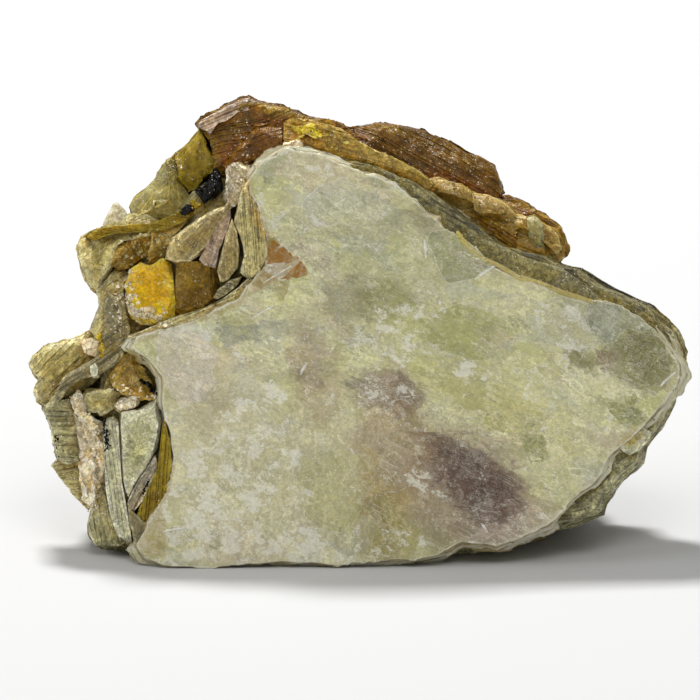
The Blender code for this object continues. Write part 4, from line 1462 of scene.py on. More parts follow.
@dataclass
class Cluster:
    """A group of books that shows as one piece."""

    name: str
    books: tuple[Book, ...]
    flakes: tuple[Flake, ...] = ()
    crumbs: tuple[Crumbs, ...] = ()
    surface: float = 0.0
    slot: str = "mica"
    node: str = "mica_books"
    sharp: float = 27.0

    def build(
        self,
        materials: dict[Finish, bpy.types.Material],
        ground: Ground,
        forms: dict[str, bmesh.types.BMesh],
    ) -> bpy.types.Object:
        """Joins the cluster's books, flakes and crumbs in one mesh and gives it its finishes.

        Args:
            materials: one material for each finish.
            ground: all the books' surfaces.
            forms: the built books by name.

        Returns:
            The finished piece.
        """
        mesh = bpy.data.meshes.new(self.name)
        whole = bmesh.new()
        finishes = list(dict.fromkeys(part.finish for part in self.books + self.crumbs))
        for book in self.books:
            ground.mark_gaps(book.name, forms[book.name])
        shells = [(forms[book.name], finishes.index(book.finish)) for book in self.books]
        shells += [(flake.build(self.surface), 0) for flake in self.flakes]
        shells += [(bits.build(ground), finishes.index(bits.finish)) for bits in self.crumbs]
        for shell, slot_index in shells:
            for face in shell.faces:
                face.material_index = slot_index
                face.smooth = True
            part = bpy.data.meshes.new("shell")
            shell.to_mesh(part)
            shell.free()
            whole.from_mesh(part)
            bpy.data.meshes.remove(part)
        bmesh.ops.triangulate(whole, faces=[face for face in whole.faces if len(face.verts) > 4])
        drop_doubles(whole)
        whole.to_mesh(mesh)
        whole.free()
        mesh.set_sharp_from_angle(angle=math.radians(self.sharp))
        for finish in finishes:
            mesh.materials.append(materials[finish])
        piece = bpy.data.objects.new(self.name, mesh)
        bpy.context.scene.collection.objects.link(piece)
        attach(piece, "root")
        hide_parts(self.node)
        log.info("%s: %d books, %d faces", self.name, len(self.books), len(mesh.polygons))
        return piece


BIG_FACE_BOOKS = (
    Book(
        "big_face_book",
        (
            (-8.75, 52.5), (-5.5, 52), (-2.5, 51), (0.5, 49.75), (4.75, 48), (8.75, 44.75),
            (12.75, 41), (16.75, 38), (20, 36.5), (24, 35), (28.75, 33.5), (32, 33), (35.5, 31),
            (38, 28.5), (40, 25.5), (40.25, 23.75), (38.5, 21), (36.5, 18.5), (34, 16),
            (31.5, 14), (29.5, 10.5), (26.25, 8), (23.5, 5), (20, 3.5), (17, 2.5), (12.75, 3),
            (10, 1.5), (7, 0.75), (1.25, 0.5), (-3, 0), (-6.25, 0.5), (-12, 0.5), (-18, -0.25),
            (-24.5, 0), (-27.25, 1), (-28.25, 3), (-26.25, 6.5), (-24.5, 9.75), (-23.5, 13.5),
            (-24.25, 18), (-25, 21), (-25, 23.75), (-26.5, 25.75), (-29, 27.5), (-28, 29),
            (-25, 30), (-21.25, 31), (-18, 32.5), (-15.25, 34), (-13.75, 36), (-12.25, 38.25),
            (-12, 41.5), (-12.75, 44.75), (-14, 47), (-14, 48.75), (-12.75, 50.5), (-11, 51.5),
        ),
        ((0.14, -0.5), (0.5, 0), (1.6, 0.1), (1.8, 0.5), (3.2, 0.4), (3.5, 1.0), (5.5, 0.7)),
        finish=Finish.PEARL,
        lie=(0, 1, 0), sheet=0.55, ragged=0.45, rough=0.3, bend=0.05, grain=0.7, wander=0.34, facet=0.3,
        smooth_front=True,
    ),
)

EDGE_BOOKS = (
    Book(
        "upper_edge_book",
        (
            (-12.25, 51), (-10.5, 52.25), (-7.5, 52.75), (-3.75, 52.75), (0, 52), (3, 51),
            (6.25, 49.5), (9, 47.75), (12, 45.5), (15, 43.25), (18, 41), (21.25, 40),
            (23.75, 39.5), (25.75, 38.25), (28, 37.75), (30.5, 36), (33.75, 34.5), (37, 33),
            (39, 31), (40.5, 28.75), (41.25, 26.5), (40.5, 24), (36, 20), (24, 18), (8, 28),
            (-6, 38), (-12, 46),
        ),
        ((1.2, -2.4), (3, -1.5), (3.3, -1.1), (5.5, -0.6), (5.8, -0.2), (7.5, 0), (10, -0.3)),
        finish=Finish.OLIVE_BAND,
        lie=(0, 1, 0), sheet=0.8, ragged=0.7, rough=0.06, bend=0.15, lines=0.9,
        rim_lines=True,
        fibrous=0.9,
    ),
    Book(
        "right_edge_book",
        (
            (35, 33.5), (38, 32), (40, 29.75), (41.25, 27), (41, 24.5), (40.25, 23.25),
            (40, 21.25), (39, 19), (38, 17), (36.25, 15), (35.75, 13), (34.75, 12),
            (33.25, 10.75), (32, 9), (31, 8), (30.75, 6.5), (30, 6), (27.5, 5), (25, 4.5),
            (23, 3.5), (18.75, 2), (13.75, 1.5), (8, 3), (11, 21), (25, 30),
        ),
        ((2.5, -1.6), (4.5, -0.9), (4.8, -0.5), (8, -0.2), (8.3, 0.1), (12, 0), (15, -0.5),
         (17, -1.6)),
        finish=Finish.GREEN_BEVEL,
        lie=(0, 1, 0), sheet=0.9, ragged=0.7, rough=0.06, bend=0.2, lines=0.9,
        rim_lines=True,
        fibrous=0.9,
    ),
    Book(
        "bowl_lip",
        (
            (-29, 28.75), (-26.25, 30), (-22.5, 31.5), (-19.5, 32.5), (-17, 33.75),
            (-15, 35.25), (-13.5, 36.5), (-13, 34.75), (-15.25, 33), (-18.5, 31.5),
            (-22.5, 30.25), (-27, 28.5),
        ),
        slab(0.2, 6.2, 0.3),
        finish=Finish.STACK,
        lie=(0.45, 0.35, -1), sheet=0.3, ragged=0.3, grain=0.45,
    ),
    Book(
        "lower_left_book",
        (
            (-29.25, 8), (-26.75, 6), (-25, 8.5), (-23.75, 4.75), (-24.5, 1), (-27.25, 1),
            (-28.25, 2.75), (-29, 5.5),
        ),
        slab(0.4, 8, 0.6),
        finish=Finish.GREY_FIBRE,
        lie=(0, 1, 0), sheet=0.6, ragged=0.5, grain=0.6,
    ),
    Book(
        "pale_crystal",
        (
            (32.2, 16.6), (33.6, 17.8), (35.4, 17.8), (36.6, 17), (36.2, 15.7), (35, 14.6),
            (33.6, 13.8), (32.4, 14.8),
        ),
        slab(0.35, 7, 0.25),
        finish=Finish.PALE_GREEN,
        chips=3,
        lie=(0, 1, 0), sheet=0.5, ragged=0.3, rough=0.06, grain=0.4,
    ),
    Book(
        "olive_edge_sheet",
        (
            (12.8, 42), (15, 41.5), (17.5, 40.4), (20, 39.2), (23.1, 38.2), (25.2, 37.5),
            (27.5, 36.1), (30, 33.9), (30.8, 33), (28.8, 33.1), (25, 34.2), (22.5, 35.2),
            (20, 36), (17.5, 37.2), (15, 38.5), (13, 40.2),
        ),
        ((0.9, -0.4), (1.3, 0), (4, 0.3)),
        finish=Finish.OLIVE_SHEET,
        lie=(0, 1, 0), sheet=0.8, ragged=0.3, rough=0.05, grain=0.5, fibrous=0.25, rim_lines=True,
    ),
)

CREST_BOOKS = (
    Book(
        "crest_book",
        (
            (-20.5, 55.5), (-20, 56), (-18, 57), (-16.25, 58), (-15, 58.75), (-13.75, 59),
            (-12.5, 58.5), (-10.5, 58), (-8.75, 57.5), (-7, 56.5), (-5, 56), (-3, 55.75),
            (-1.25, 55), (2, 50), (-9, 49), (-12.25, 51), (-15.4, 49.3), (-18.2, 49.4),
            (-19, 53),
        ),
        slab(4.8, 17, 0.8),
        slope=(0.02, 0.12),
        finish=Finish.BROWN,
        chips=4,
        back_chips=5,
        lie=(-0.29, 0.2, 0.94), sheet=0.75, ragged=0.4, rough=0.12, bend=1.0, grain=0.6, facet=0.3,
    ),
    Book(
        "rusty_book",
        (
            (-18, 51), (-15.75, 52.5), (-13.75, 54.5), (-12.25, 55.75), (-9.75, 55.5),
            (-9.75, 52.5), (-12, 51.75), (-13.75, 50.5), (-15, 49), (-16, 48), (-17, 49.5),
        ),
        slab(3.4, 10),
        slope=(-0.12, 0.15),
        finish=Finish.RUST,
        chips=3,
        lie=(-0.4, 0.2, 0.9), sheet=0.6, ragged=0.5, rough=0.12, grain=0.5, facet=0.4,
        bend=0.6,
    ),
    Book(
        "ridge_book",
        (
            (-9.75, 55.5), (-7.5, 56), (-5, 55.75), (-2.5, 55), (-0.75, 53.5), (1.5, 52.25),
            (4.5, 51), (7.5, 49.5), (9.5, 47.75), (7.5, 46), (3.75, 48), (0, 50),
            (-3.75, 51), (-7.5, 51.5), (-9.75, 52),
        ),
        slab(2.6, 9),
        slope=(0.05, 0.25),
        finish=Finish.GOLD,
        chips=4,
        lie=(0.26, 0.3, 0.92), sheet=0.6, ragged=0.5, rough=0.12, grain=0.5, facet=0.25,
        bend=0.8,
    ),
    Book(
        "silver_strip",
        (
            (-20.3, 55.3), (-19.6, 56.1), (-18, 56.9), (-16.2, 57.9), (-14.9, 58.5), (-13.6, 58.7),
            (-12.2, 58), (-14, 57.2), (-15.2, 57), (-16.8, 55.9), (-17.6, 55.7), (-18.9, 54.2),
            (-19.4, 54.6),
        ),
        slab(5.3, 9, 0.4),
        slope=(0.02, 0.12),
        finish=Finish.PINK_LEAF,
        lie=(-0.38, 0.2, 0.9), sheet=0.35, ragged=0.35, rough=0.06, bend=0.4, grain=0.4,
    ),
    Book(
        "golden_block",
        (
            (-9.6, 53.9), (-9.4, 55.5), (-8.2, 55.3), (-6.9, 55.7), (-5.2, 55.3), (-3.9, 55.2),
            (-2.4, 54.4), (-0.8, 53.2), (-1.2, 52.8), (-3, 53.8), (-4.4, 54), (-5.6, 53.7),
            (-6.6, 54.2), (-7.9, 53.6),
        ),
        slab(2.3, 6, 0.2),
        finish=Finish.AMBER,
        chips=5,
        lie=(0.26, 0.3, 0.92), sheet=0.4, ragged=0.4, rough=0.16, facet=0.3, grain=0.35,
    ),
    Book(
        "top_back_book",
        (
            (-2, 55), (0.5, 55.5), (3, 55.75), (5.5, 55.25), (8, 54.75), (10.5, 53.5),
            (13.5, 52), (15.5, 51.25), (17, 50.25), (17.75, 49), (18.5, 47.25), (18, 46.5),
            (20, 42), (8, 40), (-4, 48),
        ),
        ((9.5, -1.2), (10.5, -0.3), (14, 0), (14.3, -0.4), (21, -0.2), (23, -1.6)),
        slope=(0.03, 0.18),
        finish=Finish.BROWN,
        chips=5,
        back_chips=5,
        lie=(0.45, 0.3, 0.84), sheet=0.7, ragged=0.4, rough=0.12, bend=1.2, grain=0.7, facet=0.22,
    ),
)

GOLDEN_BOOKS = (
    Book(
        "golden_book",
        (
            (9, 48.5), (10.5, 48.75), (12.75, 48.25), (15, 47), (17.5, 45.5), (20, 44.75),
            (22, 44), (23.75, 43.25), (25.25, 42.25), (26, 40.5), (26, 39), (25.25, 38),
            (24, 34), (16, 34), (9, 42),
        ),
        slab(6.5, 16, 0.9),
        slope=(0.0, 0.2),
        crown=0.5,
        finish=Finish.PINK_GOLD,
        chips=6,
        back_chips=5,
        lie=(0.3, 0.9, 0.5), sheet=0.9, ragged=0.6, rough=0.08, bend=0.6, grain=0.6, facet=0.3,
    ),
    Book(
        "right_ledge_book",
        (
            (16, 46.5), (18.75, 46.5), (21.25, 45.5), (23, 44.25), (24.5, 43.25), (25.5, 42.5),
            (26, 40.5), (25.25, 38.25), (22, 34), (14, 38),
        ),
        slab(9.5, 20, 0.8),
        slope=(0.08, 0.12),
        finish=Finish.BROWN,
        chips=4,
        back_chips=5,
        lie=(0.5, 0.3, 0.81), sheet=0.7, ragged=0.5, rough=0.15, grain=0.7, facet=0.35,
        bend=0.8,
    ),
    Book(
        "gold_lump_left",
        (
            (8.5, 48.5), (10, 49), (12.2, 48.2), (14.2, 47.2), (15, 45.8), (13.8, 44.8),
            (11.5, 45.2), (9.5, 46.2),
        ),
        slab(5.6, 11, 0.7),
        finish=Finish.PINK_GOLD,
        chips=5,
        crown=0.5, lie=(0.2, 0.9, 0.4), sheet=0.8, ragged=0.3, rough=0.05, facet=0.16, grain=0.45,
    ),
    Book(
        "gold_lump_right",
        (
            (13.8, 47), (16, 46.8), (18.1, 45.8), (19.5, 44.5), (20, 42.8), (18.5, 42.2),
            (16.2, 43.2), (14.2, 44.8),
        ),
        slab(5.8, 11, 0.7),
        finish=Finish.PINK_GOLD,
        chips=5,
        crown=0.5, lie=(0.3, 0.9, 0.4), sheet=0.8, ragged=0.3, rough=0.05, facet=0.16, grain=0.45,
    ),
    Book(
        "gold_end",
        (
            (19, 44.2), (21, 44.2), (23.2, 43.2), (25, 41.8), (25.5, 39.8), (24.5, 39),
            (22.5, 39.5), (20.5, 40.5), (19, 42),
        ),
        slab(5.9, 12, 0.7),
        finish=Finish.PINK_GOLD,
        chips=5,
        crown=0.5, lie=(0.4, 0.9, 0.3), sheet=0.7, ragged=0.4, rough=0.05, facet=0.16, grain=0.45,
    ),
    Book(
        "lilac_lens",
        (
            (20.8, 43.8), (21.8, 44.1), (22.8, 43.2), (23.2, 41.5), (23.1, 40), (22.2, 39.8),
            (21.2, 40.8), (20.8, 42.2),
        ),
        slab(5.75, 9, 0.8),
        finish=Finish.SHOULDER,
        crown=0.3, lie=(0.2, 1, 0.1), sheet=0.6, ragged=0.2, rough=0.02, grain=0.4,
    ),
    Book(
        "brown_under_gold",
        (
            (13, 44.8), (15, 44.5), (17.5, 43.2), (20, 42), (21.5, 40.2), (20, 39.8), (17.5, 41),
            (14.8, 42.5), (12.8, 43.8),
        ),
        slab(5.7, 11, 0.5),
        finish=Finish.BROWN,
        chips=2,
        lie=(0.5, 0.3, 0.81), sheet=0.5, ragged=0.4, rough=0.15, facet=0.3, bend=0.6, grain=0.45,
    ),
)

UPPER_LEFT_BOOKS = (
    Book(
        "yellow_green_book",
        (
            (-21.25, 53.5), (-20.25, 55), (-19.5, 54), (-18.75, 52.5), (-18, 50.75),
            (-18.5, 49.5), (-19.5, 48.5), (-20.5, 47.5), (-21.5, 46.75), (-22.75, 48.5),
            (-23.25, 50.5), (-23.5, 51.5), (-22.5, 52.5),
        ),
        slab(5.2, 14),
        slope=(-0.2, 0.1),
        crown=0.5,
        finish=Finish.YELLOW_GREEN,
        chips=4,
        back_chips=5,
        lie=(-0.2, 1, 0.1), sheet=0.7, ragged=0.3, rough=0.12, grain=0.5, facet=0.25,
    ),
    Book(
        "left_upper_book",
        (
            (-23.5, 51.5), (-22.5, 50), (-21.5, 47.5), (-21, 46.25), (-22.25, 44.75),
            (-23.75, 43.5), (-26.25, 43.5), (-28.5, 43.25), (-29, 45.25), (-28.25, 46.5),
            (-27, 47.5), (-26, 48.5), (-25.5, 49.5), (-24.5, 51),
        ),
        slab(4.6, 15, 0.9),
        slope=(-0.1, 0.15),
        crown=0.9,
        finish=Finish.SHOULDER,
        chips=5,
        back_chips=5,
        lie=(-0.1, 1, 0.15), sheet=0.8, ragged=0.35, rough=0.08, grain=0.6, facet=0.2,
    ),
    Book(
        "left_shoulder_book",
        (
            (-35.5, 40.5), (-35, 41.5), (-34, 42.25), (-33, 42.5), (-31.75, 43), (-30, 43.75),
            (-28.75, 44.5), (-26.25, 44.5), (-24.5, 44.25), (-25, 41.75), (-27.5, 41),
            (-29.75, 40.75), (-30.5, 39), (-31, 37.5), (-32, 36), (-33, 34.75), (-33.75, 35),
            (-34.5, 36), (-35, 37.5), (-35.5, 39.25),
        ),
        slab(3.8, 14, 0.8),
        slope=(-0.15, 0.05),
        crown=0.6,
        finish=Finish.OLIVE,
        chips=4,
        back_chips=5,
        lie=(-0.15, 1, 0.05), sheet=0.7, ragged=0.4, rough=0.2, grain=0.6, facet=0.35,
    ),
    Book(
        "standing_flake",
        (
            (-32.25, 43), (-31.5, 44.5), (-31, 45.5), (-30.5, 45.75), (-29.75, 45),
            (-29.25, 44.25), (-29.5, 42.5),
        ),
        ((7.8, -0.1), (7.9, 0.0), (8.7, 0.0), (8.8, -0.1)),
        finish=Finish.FILM,
        sheet=0.4, ragged=0.1, rough=0.02, grain=0.4,
    ),
    Book(
        "rubble_book",
        (
            (-30.4, 41), (-27.5, 42.25), (-26, 42.75), (-25.5, 41), (-26.25, 39.5),
            (-27.25, 38.25), (-28.75, 37.5), (-30.8, 36.9), (-31.4, 38.6),
        ),
        slab(3.2, 12, 0.7),
        slope=(0.1, -0.1),
        crown=0.5,
        finish=Finish.GOLD,
        chips=6,
        lie=(0.4, 0.6, 0.6), sheet=0.6, ragged=0.6, rough=0.35, grain=0.45, facet=0.6,
    ),
    Book(
        "hollow_book",
        (
            (-26, 42.75), (-23.5, 43.75), (-21.75, 45), (-20, 45.5), (-20.5, 44.25),
            (-22, 42.75), (-23.5, 41.25), (-24, 39.5), (-25, 38.5), (-26.5, 38.25),
            (-26.25, 40.5),
        ),
        slab(3.4, 12.5),
        slope=(0.15, 0.1),
        finish=Finish.GOLD,
        chips=4,
        lie=(0.5, 0.7, -0.3), sheet=0.6, ragged=0.5, rough=0.25, grain=0.5, facet=0.5,
    ),
    Book(
        "pink_seam_book",
        (
            (-16.8, 50.2), (-15, 51.2), (-13.5, 51), (-12.2, 50.5), (-12.8, 48.8), (-14.2, 47.5),
            (-15, 45.5), (-16.2, 45), (-17, 46.5), (-16.8, 48.2),
        ),
        slab(1.8, 7),
        finish=Finish.PINK_CREAM,
        chips=5,
        lie=(0.6, 0.6, 0.5), sheet=0.5, ragged=0.5, rough=0.3, facet=0.5, grain=0.4,
    ),
    Book(
        "shoulder_lamina",
        (
            (-34.2, 41.5), (-33, 42.4), (-31, 42.8), (-29, 43), (-26.2, 43.2), (-23.8, 44.2),
            (-22, 45), (-20.5, 44.5), (-22, 43.2), (-25, 42.2), (-28.5, 42), (-31, 41.8),
            (-33.2, 41),
        ),
        slab(3.0, 8, 0.3),
        finish=Finish.YELLOW_GREEN,
        lie=(0.15, 0.25, 1), sheet=0.35, ragged=0.4, rough=0.06, grain=0.4,
    ),
    Book(
        "grey_lump",
        (
            (-32, 33.5), (-31.2, 34.2), (-30.2, 33.8), (-29.8, 32.2), (-30, 30.5), (-30.8, 29.2),
            (-31.8, 29), (-32.2, 30.8),
        ),
        slab(2.8, 8, 0.4),
        finish=Finish.GREY_FIBRE,
        chips=5,
        lie=(0.3, 0.9, 0.2), sheet=0.6, ragged=0.3, rough=0.15, facet=0.3, grain=0.4,
    ),
)

LEAF_BOOKS = (
    Book(
        "upper_leaf",
        (
            (-16, 46.5), (-17, 45.25), (-19, 44.5), (-20.5, 43.5), (-22, 42.5), (-23.5, 41.25),
            (-24, 40), (-24.25, 38.75), (-23, 38.25), (-21, 38.5), (-19.5, 39.75),
            (-18.25, 41.25), (-17.25, 43.25), (-16, 45),
        ),
        ((1.4, -0.7), (1.8, 0), (2.6, -0.1), (2.8, 0.3), (7.3, 0)),
        slope=(0.02, 0.1),
        crown=0.4,
        finish=Finish.LEAF,
        hinge=(-15.4, 47.5), fibrous=0.8, lines=1.2,
        lie=(0, 1, 0.1), sheet=0.5, ragged=0.25, rough=0.04, grain=0.5,
    ),
    Book(
        "lower_leaf",
        (
            (-16.25, 45), (-17.75, 43.5), (-18.75, 41.5), (-19.5, 40), (-20.25, 38.5),
            (-19.5, 37.75), (-18, 37.5), (-17.5, 39.75), (-16.5, 42), (-16, 44),
        ),
        ((1.6, -0.4), (2.0, 0), (2.8, 0), (6.9, 0)),
        slope=(0.2, 0.0),
        finish=Finish.PINK_LEAF,
        hinge=(-15.4, 47.5), fibrous=0.8, lines=1.2,
        lie=(0.2, 1, 0), sheet=0.5, ragged=0.25, rough=0.04, grain=0.45,
    ),
    Book(
        "spindle",
        (
            (-16, 43.5), (-15.25, 42), (-15, 39.75), (-15.25, 37.5), (-16.5, 36),
            (-17.5, 35.75), (-18, 37), (-17.5, 39), (-17, 41), (-16.5, 42.5),
        ),
        ((1.0, -0.5), (1.6, 0), (6.6, 0)),
        slope=(-0.1, 0.0),
        crown=0.3,
        finish=Finish.LEAF,
        hinge=(-16, 52), fibrous=0.7, lines=2.0,
        lie=(-0.1, 1, 0), sheet=0.5, ragged=0.2, rough=0.04, grain=0.45,
    ),
    Book(
        "upright_sheets",
        (
            (-13.75, 48.75), (-15, 47), (-15.5, 45), (-15.75, 43.25), (-15, 41.5), (-14.5, 39),
            (-15, 37), (-13.75, 36), (-12.5, 36.75), (-11.5, 39), (-11.75, 41.75),
            (-12.5, 44.5), (-13.5, 46.75),
        ),
        ((0.2, -0.6), (0.8, 0), (2.4, 0.1), (7.7, 0.2)),
        slope=(-0.25, 0.0),
        finish=Finish.STACK,
        lie=(1, -0.3, 0.1), sheet=0.35, ragged=0.25, rough=0.05, grain=0.5,
    ),
    Book(
        "splinter",
        (
            (-18.5, 33.75), (-18, 34.75), (-16.25, 36), (-14.75, 36.5), (-15, 35.5),
            (-16.5, 34.25), (-17.75, 33.5),
        ),
        ((1.2, -0.2), (1.5, 0), (4.5, 0)),
        finish=Finish.GREY_FIBRE,
        lie=(0.3, 0.5, 0.8), sheet=0.4, ragged=0.2, rough=0.05, grain=0.4,
    ),
)

AMBER_BOOKS = (
    Book(
        "amber_book",
        (
            (-28.75, 37.75), (-27.5, 38.4), (-26.3, 38), (-24.6, 38.9), (-23.5, 38.25),
            (-23, 35.5), (-23, 31.5), (-25, 30.5), (-27.5, 30.25), (-29, 31.5), (-29.5, 33.75),
            (-29.5, 36),
        ),
        slab(2.4, 13.4, 0.4),
        slope=(0.05, 0.05),
        crown=0.2,
        finish=Finish.AMBER,
        chips=5,
        lie=(0, 1, 0), sheet=0.8, ragged=0.4, rough=0.12, grain=0.5, facet=0.2,
    ),
    Book(
        "brown_book",
        (
            (-23.25, 38.25), (-21.25, 38.5), (-18, 38), (-17.5, 35.75), (-18, 33.75),
            (-20, 32.25), (-22.5, 31), (-23.25, 31),
        ),
        slab(3.4, 10, 0.3),
        slope=(0.1, -0.05),
        finish=Finish.DARK_AMBER,
        chips=3,
        lie=(0, 1, 0), sheet=0.7, ragged=0.4, rough=0.1, grain=0.5, facet=0.15,
    ),
    Book(
        "amber_wedge",
        (
            (-30, 26.75), (-28.5, 27.25), (-27, 25), (-25.75, 23.25), (-25.25, 21),
            (-27.25, 20.75), (-29, 21.25), (-31, 22.5), (-31.75, 23.75),
        ),
        slab(2.8, 9),
        slope=(-0.1, 0.15),
        finish=Finish.GOLD,
        chips=3,
        lie=(0, 1, 0), sheet=0.7, ragged=0.4, rough=0.2, grain=0.5, facet=0.4,
    ),
)

LEFT_FLANK_BOOKS = (
    Book(
        "left_column",
        (
            (-33.25, 34.75), (-32, 36), (-30.5, 37.5), (-29, 37.25), (-29.5, 34.75),
            (-29, 32.25), (-28.5, 30.25), (-29.25, 28), (-30, 25.75), (-32, 24.25),
            (-33.25, 26.25), (-33.5, 28.75), (-34, 29.5), (-33.25, 31.25), (-32.75, 32.5),
            (-33, 33.75),
        ),
        slab(4, 14.6, 0.7),
        slope=(-0.15, 0.0),
        crown=0.4,
        finish=Finish.OLIVE,
        chips=5,
        back_chips=5,
        lie=(-0.6, 0.2, 0.77), sheet=0.6, ragged=0.5, rough=0.15, grain=0.55, facet=0.3,
    ),
    Book(
        "far_left_book",
        (
            (-41.5, 25), (-41, 26.5), (-39.5, 27.75), (-37.5, 28.25), (-35.5, 29), (-34, 29.5),
            (-32.5, 29), (-31.75, 27.25), (-31.75, 24.75), (-33.5, 23), (-35.25, 21.75),
            (-36, 21), (-38.5, 21), (-39.75, 20), (-40.5, 21), (-41, 22), (-40.5, 23.25),
        ),
        slab(5.2, 15, 0.8),
        slope=(-0.18, 0.08),
        crown=0.5,
        finish=Finish.OLIVE,
        chips=5,
        back_chips=5,
        lie=(-0.7, 0.2, 0.7), sheet=0.7, ragged=0.5, rough=0.15, grain=0.6, facet=0.3,
    ),
    Book(
        "left_flank_book",
        (
            (-40, 20), (-38.5, 21), (-35.75, 21), (-35, 18.5), (-35, 16), (-34.5, 13.75),
            (-36.25, 13), (-38, 13.5), (-38.5, 15), (-39, 17.5), (-39.5, 18.75),
        ),
        slab(5, 13, 0.6),
        slope=(-0.12, 0.0),
        finish=Finish.MOSS,
        chips=4,
        lie=(0, 0.2, 1), sheet=0.5, ragged=0.5, rough=0.08, grain=0.5, facet=0.15,
    ),
    Book(
        "pale_fan",
        (
            (-39, 12.75), (-38, 13.5), (-35.5, 13.75), (-34, 12.5), (-33.25, 10.5), (-33, 8.5),
            (-34, 7), (-34.5, 7.5), (-35.5, 8.5), (-36.75, 10), (-38, 11.5),
        ),
        ((6.2, -0.4), (6.5, 0), (7.8, -0.1), (8.0, -0.9), (10.5, -1.0)),
        slope=(-0.1, 0.1),
        finish=Finish.STACK,
        lie=(-0.2, 0.1, 1), sheet=0.45, ragged=0.4, rough=0.05, grain=0.45,
    ),
    Book(
        "large_nodule",
        (
            (-35, 20.75), (-34.25, 22), (-32.75, 22.5), (-31, 22.5), (-30, 21.75),
            (-30.25, 20.5), (-31, 19.75), (-32.5, 19), (-34, 19.25), (-35, 20),
        ),
        slab(2.6, 8, 0.8),
        crown=0.6,
        finish=Finish.OLIVE,
        chips=6,
        lie=(0, 1, 0), sheet=0.8, ragged=0.3, rough=0.25, grain=0.45, facet=0.25,
    ),
    Book(
        "small_nodule",
        (
            (-31, 20.25), (-30.25, 21), (-28.75, 21.5), (-27.5, 21.5), (-27.5, 20.5),
            (-28.5, 19.75), (-30, 19.5),
        ),
        slab(1.9, 6),
        crown=0.4,
        finish=Finish.CREAM,
        chips=5,
        lie=(0, 1, 0), sheet=0.6, ragged=0.3, rough=0.2, grain=0.4, facet=0.25,
    ),
    Book(
        "crumbly_seam",
        (
            (-36, 19.5), (-35, 19.25), (-33.75, 18.5), (-32.5, 17.75), (-31.5, 15.5),
            (-31.5, 11.5), (-32.5, 8.5), (-33.75, 8), (-34.25, 10.5), (-35, 13.75),
            (-35.5, 16.5),
        ),
        slab(3.6, 10, 0.8),
        slope=(-0.25, 0.0),
        crown=0.3,
        finish=Finish.PINK_CREAM,
        chips=6,
        lie=(0.8, 0.5, 0.2), sheet=0.5, ragged=0.4, rough=0.2, grain=0.45, facet=0.35,
    ),
    Book(
        "dark_fibre_band",
        (
            (-38.8, 20.8), (-38, 22.8), (-36.8, 24.2), (-35, 25.2), (-33.5, 26.2), (-32.8, 28),
            (-32, 29.8), (-30.8, 31), (-29, 30.8), (-29.2, 28.8), (-29.8, 27), (-30.8, 25.5),
            (-32.8, 24.2), (-35, 23.5), (-36.8, 22.2), (-37.8, 20.8),
        ),
        slab(3.4, 9, 0.5),
        finish=Finish.GREY_FIBRE,
        lie=(-0.55, 0.2, 0.8), sheet=0.4, ragged=0.5, rough=0.1, bend=0.5, grain=0.45,
    ),
    Book(
        "small_leaf",
        (
            (-33.8, 25.2), (-33.1, 25.6), (-32.8, 25), (-32.8, 24), (-33.4, 23.8), (-33.8, 24.4),
        ),
        slab(2.9, 5, 0.2),
        finish=Finish.PALE_GREEN,
        lie=(0, 1, 0), sheet=0.5, ragged=0.1, rough=0.03, grain=0.3,
    ),
    Book(
        "cream_rim",
        (
            (-36.2, 21.2), (-35.2, 22), (-34.5, 21), (-34.2, 19.5), (-33, 18.5), (-32, 18.2),
            (-31.8, 17.2), (-32.8, 16.5), (-34, 17.2), (-35.2, 18.5), (-36, 19.8),
        ),
        slab(3.0, 6, 0.3),
        finish=Finish.CREAM,
        chips=4,
        lie=(0.4, 0.8, 0.3), sheet=0.5, ragged=0.4, rough=0.3, facet=0.4, grain=0.35,
    ),
    Book(
        "yellow_seam_bits",
        (
            (-34.8, 14), (-33.5, 14.5), (-33, 12.2), (-33, 9.8), (-33.5, 7.5), (-34.5, 8.5),
            (-35, 11),
        ),
        slab(2.7, 6, 0.4),
        finish=Finish.CREAM,
        chips=4,
        lie=(0.8, 0.5, 0.2), sheet=0.5, ragged=0.5, rough=0.4, facet=0.5, grain=0.4,
    ),
)

